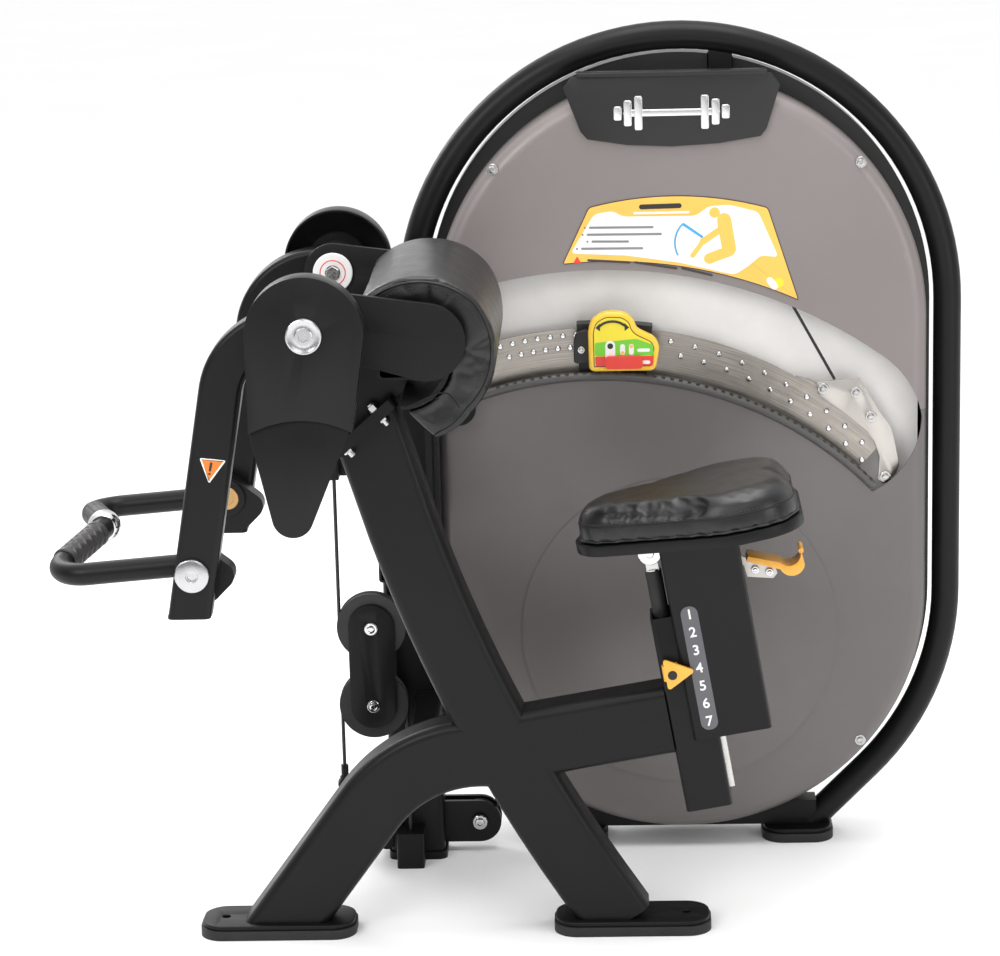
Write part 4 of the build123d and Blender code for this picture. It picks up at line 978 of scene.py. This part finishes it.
def placard():
    """The instruction card: a pale field between orange bands, with plain bars for its
    lines and a simple seated figure made of rounded strokes."""
    outline = rounded(arc((148, 1154), (314, 1171), (453, 1148), 14)
                      + arc((505, 986), (318, 1046), (101, 1056), 16), 6)
    face = CASING_FRONT - 1.2
    ink_face = face - 1.0

    def ink(word, shape, colour, y=ink_face, depth=0.25):
        return print_on(f"placard_{word}", shape, y, colour, "frame", depth)

    card = attach(slab("placard_edge", outline, face, 1.0, "card_edge"), "frame")
    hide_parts("instruction_placard")
    ink("face", inset(outline, 1.6), "print_orange", face - 0.5, 0.5)
    field = rounded([(116, 1075), (157, 1142), (190, 1147), (205, 1137), (330, 1136), (352, 1152),
                     (386, 1154), (436, 1141), (470, 1062), (440, 1066), (418, 1047), (395, 1033),
                     (300, 1056), (210, 1070)], 9)
    ink("field", field, "print_white", face - 0.75)
    for i, (x, z, long) in enumerate(((150, 1119, 106), (146, 1107, 124), (154, 1095, 60), (136, 1083, 102))):
        ink(f"line_{i + 1}", capsule((x, z), (x + long, z - 1), 2.0), "print_grey")
        ink(f"dot_{i + 1}", circle(x - 9, z, 1.8), "print_grey")
    ink("title", capsule((238, 1153), (302, 1154), 4.2), "print_black")
    ink("subtitle", capsule((226, 1142.5), (318, 1142.5), 2.0), "print_white")
    lines = [(140, 1063), (220, 1058), (300, 1046), (360, 1033)]
    for i, (a, b) in enumerate(zip(lines, lines[1:])):
        ink(f"note_{i + 1}", capsule((a[0] + 6, a[1]), (b[0] - 4, b[1]), 1.9), "card_edge")
    ink("mark", rounded([(120, 1058), (134, 1058), (127, 1070)], 2), "print_red")
    strokes = ((378, 1128, 386, 1078, 12), (386, 1074, 352, 1062, 9), (372, 1112, 342, 1092, 5.5),
               (342, 1092, 324, 1068, 4))
    for i, (x0, z0, x1, z1, radius) in enumerate(strokes):
        ink(f"figure_{i + 1}", capsule((x0, z0), (x1, z1), radius), "print_orange", ink_face - 0.12 * i)
    ink("head", circle(362, 1141, 9), "print_orange")
    turn = [at(340 + 46 * cos(radians(a)), ink_face, 1090 + 46 * sin(radians(a))) for a in range(135, 212, 6)]
    attach(tube("placard_swing", turn, 0.0014, "print_blue", segments=8), "frame")
    ink("bar", capsule((309, 1122), (340, 1100), 2.2), "print_blue", ink_face - 0.6)
    ink("knob", circle(470, 1018, 9), "print_yellow")
    ink("hand", capsule((455, 1022), (463, 1012), 6), "print_white", ink_face - 0.2)


def header_emblem():
    """A plain silver dumbbell on the header plate, in place of any mark."""
    face, middle = CASING_FRONT - 8, (291, 1314)
    parts = [(capsule((middle[0] - 76, middle[1]), (middle[0] + 76, middle[1]), 6), 2.2)]
    for side in (-1, 1):
        for offset, half in ((56, 29), (74, 22), (91, 12)):
            x = middle[0] + side * offset
            corners = [(x + 6.8 * dx, middle[1] + half * dz)
                       for dx, dz in ((-1, -1), (1, -1), (1, 1), (-1, 1))]
            parts.append((rounded(corners, 4), 3.0))
    for i, (outline, depth) in enumerate(parts):
        attach(slab(f"header_emblem_{i + 1}", outline, face - depth, depth, "emblem", edge=0.8),
               "frame")


def selector_grip():
    """The yellow mitt of the selector, its clasp, and its printed fields in thin layers."""
    outline = rounded([(144, 872), (143, 944), (150, 964), (172, 977), (206, 975), (222, 962),
                       (226, 946), (258, 930), (266, 914), (258, 872)], 11)
    grip = attach(slab("selector_mitt", outline, MITT_FACE, 18.0, "yellow", edge=5.0),
                  "selector")
    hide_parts("selector_grip")
    clasp = rounded([(118, 884), (150, 884), (150, 934), (140, 944), (124, 938), (118, 926)], 7)
    attach(slab("selector_clasp", clasp, 366, 16, "header", edge=2.0), "selector")
    screw("selector_clasp_screw", 131, 366, 908, "zinc", "selector", 0.6)

    def ink(word, shape, colour, layer, depth=0.3):
        print_on(f"selector_{word}", shape, MITT_FACE - 0.3 * layer, f"print_{colour}",
                 "selector", depth)

    ink("print_edge", inset(outline, 8.5), "black", 1, 0.4)
    ink("print", inset(outline, 10.0), "yellow", 2, 0.4)
    left, right = 154.5, 254.5
    green = [(left, 900), (right + 1, 900), (right, 918), (226, 929), (left, 923)]
    red = [(left + 1, 882), (right - 1, 882), (right + 1, 899), (left, 899)]
    ink("green", rounded(green, 3), "green", 3, 0.4)
    ink("red", rounded(red, 3), "red", 3, 0.4)
    arrow = arc((162, 951), (184, 960), (208, 951), 10)
    attach(tube("selector_arrow", [at(x, 351.3, z) for x, z in arrow], 0.0022, "print_black", segments=8),
           "selector")
    for word, tip, x in (("left", 156, 164), ("right", 214, 206)):
        ink(f"arrow_{word}", rounded([(tip, 949), (x, 957), (x, 943)], 1), "black", 10 / 3, 0.4)
    ink("pill", capsule((181, 892), (181, 918), 8.5), "white", 4)
    ink("dot_dark", circle(181, 917, 5), "black", 5)
    ink("dot_blue", circle(181, 893, 5.4), "blue", 5)
    marks = ((202, 905, 916, 905, "orange"), (217, 905, 916, 916, "orange"), (202, 886, 893, 892, "blue"))
    for i, (x, low, high, dot, colour) in enumerate(marks):
        ink(f"mark_{i + 1}", capsule((x, low), (x, high), 4.2), "white", 4)
        ink(f"mark_dot_{i + 1}", circle(x, dot, 3.2), colour, 5)
    for i, z in enumerate((909, 888)):
        ink(f"bar_{i + 1}", capsule((230, z), (246, z), 3), "white", 4)


def pointer_bolt():
    """The dark bolt that holds the pointer to the mast."""
    rows = [(7.5, 0), (7.5, 1.6), (6.6, 2.6), (0.4, 2.8)]
    attach(turned("pointer_bolt", seat_at(-18.5, -57, 242.4), rows, "rubber"), "frame")


def digits():
    """The seat heights 1 to 7 on the number strip."""
    for number in range(1, 8):
        curve = bpy.data.curves.new(f"digit_{number}", "FONT")
        curve.body = str(number)
        curve.size = 0.0235
        curve.extrude = 0.0002
        curve.offset = 0.0004
        curve.align_x = "CENTER"
        curve.align_y = "CENTER"
        text = bpy.data.objects.new(f"digit_{number}", curve)
        bpy.context.scene.collection.objects.link(text)
        graph = bpy.context.evaluated_depsgraph_get()
        graph.update()
        mesh = bpy.data.meshes.new_from_object(text.evaluated_get(graph))
        bpy.data.objects.remove(text)
        spot = seat_at(STRIP_MIDDLE[0], STRIP_FACE, STRIP_MIDDLE[1] + DIGIT_STEP * (4 - number))
        turn = Matrix.Rotation(-SEAT_LEAN, 4, "Y") @ Matrix.Rotation(pi / 2, 4, "X")
        mesh.transform(Matrix.Translation(spot) @ turn)
        attach(new_object(f"seat_digit_{number}", mesh, "print_white"), "seat")


def arm_sticker():
    """A plain orange caution triangle with a dark bar and dot, on the near arm."""
    def ink(word, shape, colour, lift, depth=0.25):
        print_on(f"caution_{word}", shape, -ARM_OUTER - lift, colour, "arm", depth)

    outline = rounded([(-449, 884), (-408, 879), (-436, 843)], 4)
    ink("edge", outline, "print_white", 0.4, 0.4)
    ink("field", inset(outline, 2.6), "caution", 0.6, 0.3)
    ink("bar", capsule((-431, 875), (-433.5, 864), 2.0), "print_black", 0.8)
    ink("dot", circle(-434.5, 858.5, 1.9), "print_black", 0.8)


def lip_teeth():
    """The dark toothed strip that shows above the window's lip."""
    parts = []
    angle = -15.0
    while angle < 45.5:
        tooth = rounded(band(668.5, 662.5, angle, angle + 0.55, 3), 1.5)
        parts.append(slab("tooth", tooth, 367.5, 8, "print_black"))
        angle += 1.3
    attach(joined("lip_teeth", parts), "frame")


def lever_studs():
    """The turned pips of the two stud rows on the lever. The rows bend more than its arc."""
    profile = [(5.0, 0), (5.0, 1.2), (4.4, 2.0), (4.2, 3.2), (3.4, 4.0), (0.4, 4.2)]
    pips = []
    for first, step, count in STUD_GROUPS:
        for i in range(count):
            for row, offset in zip(STUD_ROWS, (0, step / 2)):
                angle = first + step * i + offset
                x, z = on_arc(row - 0.0125 * (angle + 7) ** 2, angle)
                pips.append(turned("pip", at(x, LEVER_FACE, z), profile, "chrome", segments=20))
    attach(joined("lever_studs", pips), "weight_lever")


def post_seal():
    """A dark strip between the tower's front post and the lower casing, painted shade for the shadowed gap
    between them.
    """
    outline = [(-128, 190), (-117.5, 190), (-117.5, 890), (-128, 890)]
    attach(slab("post_seal", outline, 352, 20, "rubber"), "frame")


def paddle_edge():
    """The turned-up finger edge of the release paddle."""
    line = [seat_at(222, -22 + 44 * i / 8, 401) for i in range(9)]
    attach(tube("paddle_bead", line, 0.0042, "amber", segments=12), "seat_lever")


def gas_spring_top():
    """The dust sleeve and the bright clevis at the top of the gas spring."""
    sleeve = [seat_at(-20, 0, w) for w in (330, 350, 370, 390, 408)]
    attach(tube("gas_sleeve", sleeve, 0.0136, "rubber", segments=24), "seat")
    eye = [(19, 0), (19, 2.4), (18, 3.6), (7, 3.8), (6.5, 6.0), (5.5, 6.8), (0.5, 6.8)]
    attach(turned("gas_eye", seat_at(-20, -9, 438), eye, "chrome"), "seat")


# Cables ---------------------------------------------------------------------------
def turn_points(x, z, radius, start, end, y, count=16):
    """Points round a pulley, between two angles in degrees, anticlockwise from +X."""
    return [at(x + radius * cos(radians(start + (end - start) * i / count)), y,
               z + radius * sin(radians(start + (end - start) * i / count))) for i in range(count + 1)]


def straight(a, b, count):
    return [a.lerp(b, i / count) for i in range(count)]


def cables():
    """The tight cables. The block's cables stretch and shorten between the frame and the block."""
    x, y, turn, r = CABLE["x"], CABLE["y"], CABLE["turn"], CABLE["r"] / 1000
    right = x + 2 * turn
    upper, lower = CABLE["upper"], CABLE["lower"]
    fairlead, anchor = at(x, y, FAIRLEAD_Z), at(right, y, ARM_CABLE_END)
    line = straight(fairlead, at(x, y, upper), 24) + turn_points(BLOCK_X, upper, turn, 180, 360, y) \
        + straight(at(right, y, upper), anchor, 12)[1:] + [anchor]
    block_cable = tube("arm_cable_run", line, r, "cable")
    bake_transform(block_cable)
    cam = tube("cam_cable_run", [at(PIVOT[0] - CAM_R - 0.3, y, PIVOT[1]), fairlead], r, "cable")
    attach(cam, "frame")
    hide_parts("arm_cable")
    fitting_place, beam = at(x, y, BASE_FITTING_Z), at(right, y, BASE_BEAM_Z)
    line = straight(fitting_place, at(x, y, lower), 12) + turn_points(BLOCK_X, lower, turn, 180, 0, y) \
        + straight(at(right, y, lower), beam, 24)[1:] + [beam]
    base = tube("base_cable_run", line, r, "cable")
    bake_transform(base)
    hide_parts("base_cable")
    tower_cable()


def tower_cable():
    """The cable from the post's foot, up and over, to the lever's end."""
    y, turn = TOWER_CABLE_Y, SMALL_TURN
    base, corner, top = (joint_drawing(f"{name}_pulley_turn") for name in ("base", "corner", "top"))
    reach = hypot(LEVER_EYE[0] - top[0], LEVER_EYE[1] - top[1])
    toward = atan2(LEVER_EYE[1] - top[1], LEVER_EYE[0] - top[0])
    leave = (toward + acos(turn / reach)) * 180 / pi
    line = [at(-126.8, y, base[1] - turn)] + turn_points(*base, turn, -90, 0, y) \
        + turn_points(*corner, turn, 180, 90, y) + turn_points(*top, turn, 90, leave, y)
    last = line[-1]
    attach(tube("tower_cable_run", line, TOWER_CABLE_R, "cable"), "frame")
    end = at(LEVER_EYE[0], y, LEVER_EYE[1])
    run = tube("lever_cable_run", straight(last, end, 16) + [end], TOWER_CABLE_R, "cable")
    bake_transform(run)


# Camera, light and stage -------------------------------------------------------------
def stage():
    """A pale floor and a pale sky, dimmer behind the camera and bright overhead."""
    floor_material = material("floor_pale", (0.93, 0.93, 0.93), 0.75, Specular_IOR_Level=0.2)
    mottle(floor_material, (0.93, 0.93, 0.93), 0.01, 1.5)
    work = bmesh.new()
    bmesh.ops.create_grid(work, x_segments=2, y_segments=2, size=30)
    mesh = bpy.data.meshes.new("floor")
    work.to_mesh(mesh)
    work.free()
    floor = new_object("floor", mesh)
    mesh.materials.append(floor_material)
    world = bpy.data.worlds.new("studio")
    world.use_nodes = True
    sky = world.node_tree.nodes["Background"]
    sky.inputs["Color"].default_value = (1, 1, 1, 1)
    split = add(world, "ShaderNodeSeparateXYZ")
    link(world, add(world, "ShaderNodeTexCoord").outputs["Generated"], split.inputs["Vector"])
    behind = add(world, "ShaderNodeMapRange", From_Min=-0.3, From_Max=0.25, To_Min=0.28, To_Max=1.06)
    link(world, split.outputs["Y"], behind.inputs["Value"])
    above = add(world, "ShaderNodeMapRange", From_Min=0.45, From_Max=0.9, To_Min=0.0, To_Max=0.7)
    link(world, split.outputs["Z"], above.inputs["Value"])
    total = calculated(world, "ADD", behind.outputs["Result"], above.outputs["Result"])
    link(world, total, sky.inputs["Strength"])
    bpy.context.scene.world = world
    bpy.context.scene.view_settings.view_transform = "Standard"


def light(name, place, aim, size, power, wide=None):
    lamp = bpy.data.lights.new(name, "AREA")
    lamp.shape = "RECTANGLE"
    lamp.size = size
    lamp.size_y = wide or size
    lamp.energy = power
    made = bpy.data.objects.new(name, lamp)
    bpy.context.scene.collection.objects.link(made)
    made.location = place
    made.rotation_euler = (Vector(aim) - Vector(place)).to_track_quat("-Z", "Y").to_euler()


def lights():
    light("key", (-2.6, -3.6, 3.4), (0.1, 0, 0.8), 2.2, 95)
    light("fill", (3.4, -3.2, 1.8), (0.1, 0, 0.6), 1.8, 45, 2.6)
    light("top", (0.2, -0.4, 4.2), (0.1, 0.1, 0.8), 2.4, 90)
    light("floor", (0.3, -3.4, 2.4), (0.3, -1.6, 0), 1.4, 22, 2.4)
    light("rim", (-2.2, 2.6, 2.6), (0, 0, 1.0), 1.6, 40)


CAMERA_AZIMUTH, CAMERA_PITCH, CAMERA_ROLL = radians(2.2), radians(13.7), 0.0255
FOCAL_IN_WIDTHS = 3.3
CAMERA_PLACE = (199.4, -5191, 2040)


def camera():
    view = Vector((-sin(CAMERA_AZIMUTH) * cos(CAMERA_PITCH), cos(CAMERA_AZIMUTH) * cos(CAMERA_PITCH),
                   -sin(CAMERA_PITCH)))
    level = Vector((cos(CAMERA_AZIMUTH), sin(CAMERA_AZIMUTH), 0))
    up = level.cross(view)
    right = level * cos(CAMERA_ROLL) - up * sin(CAMERA_ROLL)
    over = level * sin(CAMERA_ROLL) + up * cos(CAMERA_ROLL)
    data = bpy.data.cameras.new("camera")
    data.sensor_width = 36
    data.lens = 36 * FOCAL_IN_WIDTHS
    data.clip_end = 100
    made = bpy.data.objects.new("camera", data)
    bpy.context.scene.collection.objects.link(made)
    made.matrix_world = Matrix.Translation(at(*CAMERA_PLACE)) @ Matrix(
        (right, over, -view)).transposed().to_4x4()
    bpy.context.scene.camera = made


def seat_plate_or_frame(point):
    """0 for the seat carriage's frame, 1 for the grey plate under the pad."""
    up = (seat_at(0, 0, 1) - seat_at(0, 0, 0)).normalized()
    return 1 if (point - seat_at(0, 0, 461.2)).dot(up) > 0 else 0


def guard_or_cover(point):
    """0 for the moulded covers, 1 for the cable guard, which stands behind the near cover's face."""
    place = (point - DRAWING) * 1000
    return 1 if -332.5 < place.y < -299.5 and place.z < 928 else 0


REFINED = (
    ("pivot_covers", 3.5, "frame", "cover_black", ("cover", "guard"), guard_or_cover),
    ("pivot_ears", 1.2, "frame", "frame_black", ("ear",), None),
    ("foot_plates", 1.6, "frame", "frame_black", ("frame",), None),
    ("foot_pads", 2.0, "frame", "foot_rubber", ("rubber",), None),
    ("seat_carriage", 1.4, "seat", "carriage_grey", ("frame", "seat_plate"), seat_plate_or_frame),
    ("seat_mast", 1.4, "frame", "frame_black", ("frame",), None),
    ("header_plate", 2.0, "frame", "plate_charcoal", ("header",), None),
    ("block_plates", 1.5, "pulley_block", "frame_black", ("frame",), None),
    ("end_bracket", 1.0, "weight_lever", "stainless", ("bracket",), None),
    ("seat_pointer", 1.6, "frame", "yellow_paint", ("amber",), None),
    ("lever_paddle", 1.6, "seat_lever", "yellow_plastic", ("amber",), None),
)


def main():
    dress_nodes()
    camera()
    lights()
    stage()
    for node, width, body, slot, materials, choose in REFINED:
        refined(node, width, body, slot, *materials, choose=choose)
    elbow_pad()
    seat_pad()
    pivot_fittings()
    hand_pins()
    screws()
    hand_grips()
    placard()
    header_emblem()
    selector_grip()
    pointer_bolt()
    digits()
    arm_sticker()
    lip_teeth()
    lever_studs()
    post_seal()
    paddle_edge()
    gas_spring_top()
    cables()


main()
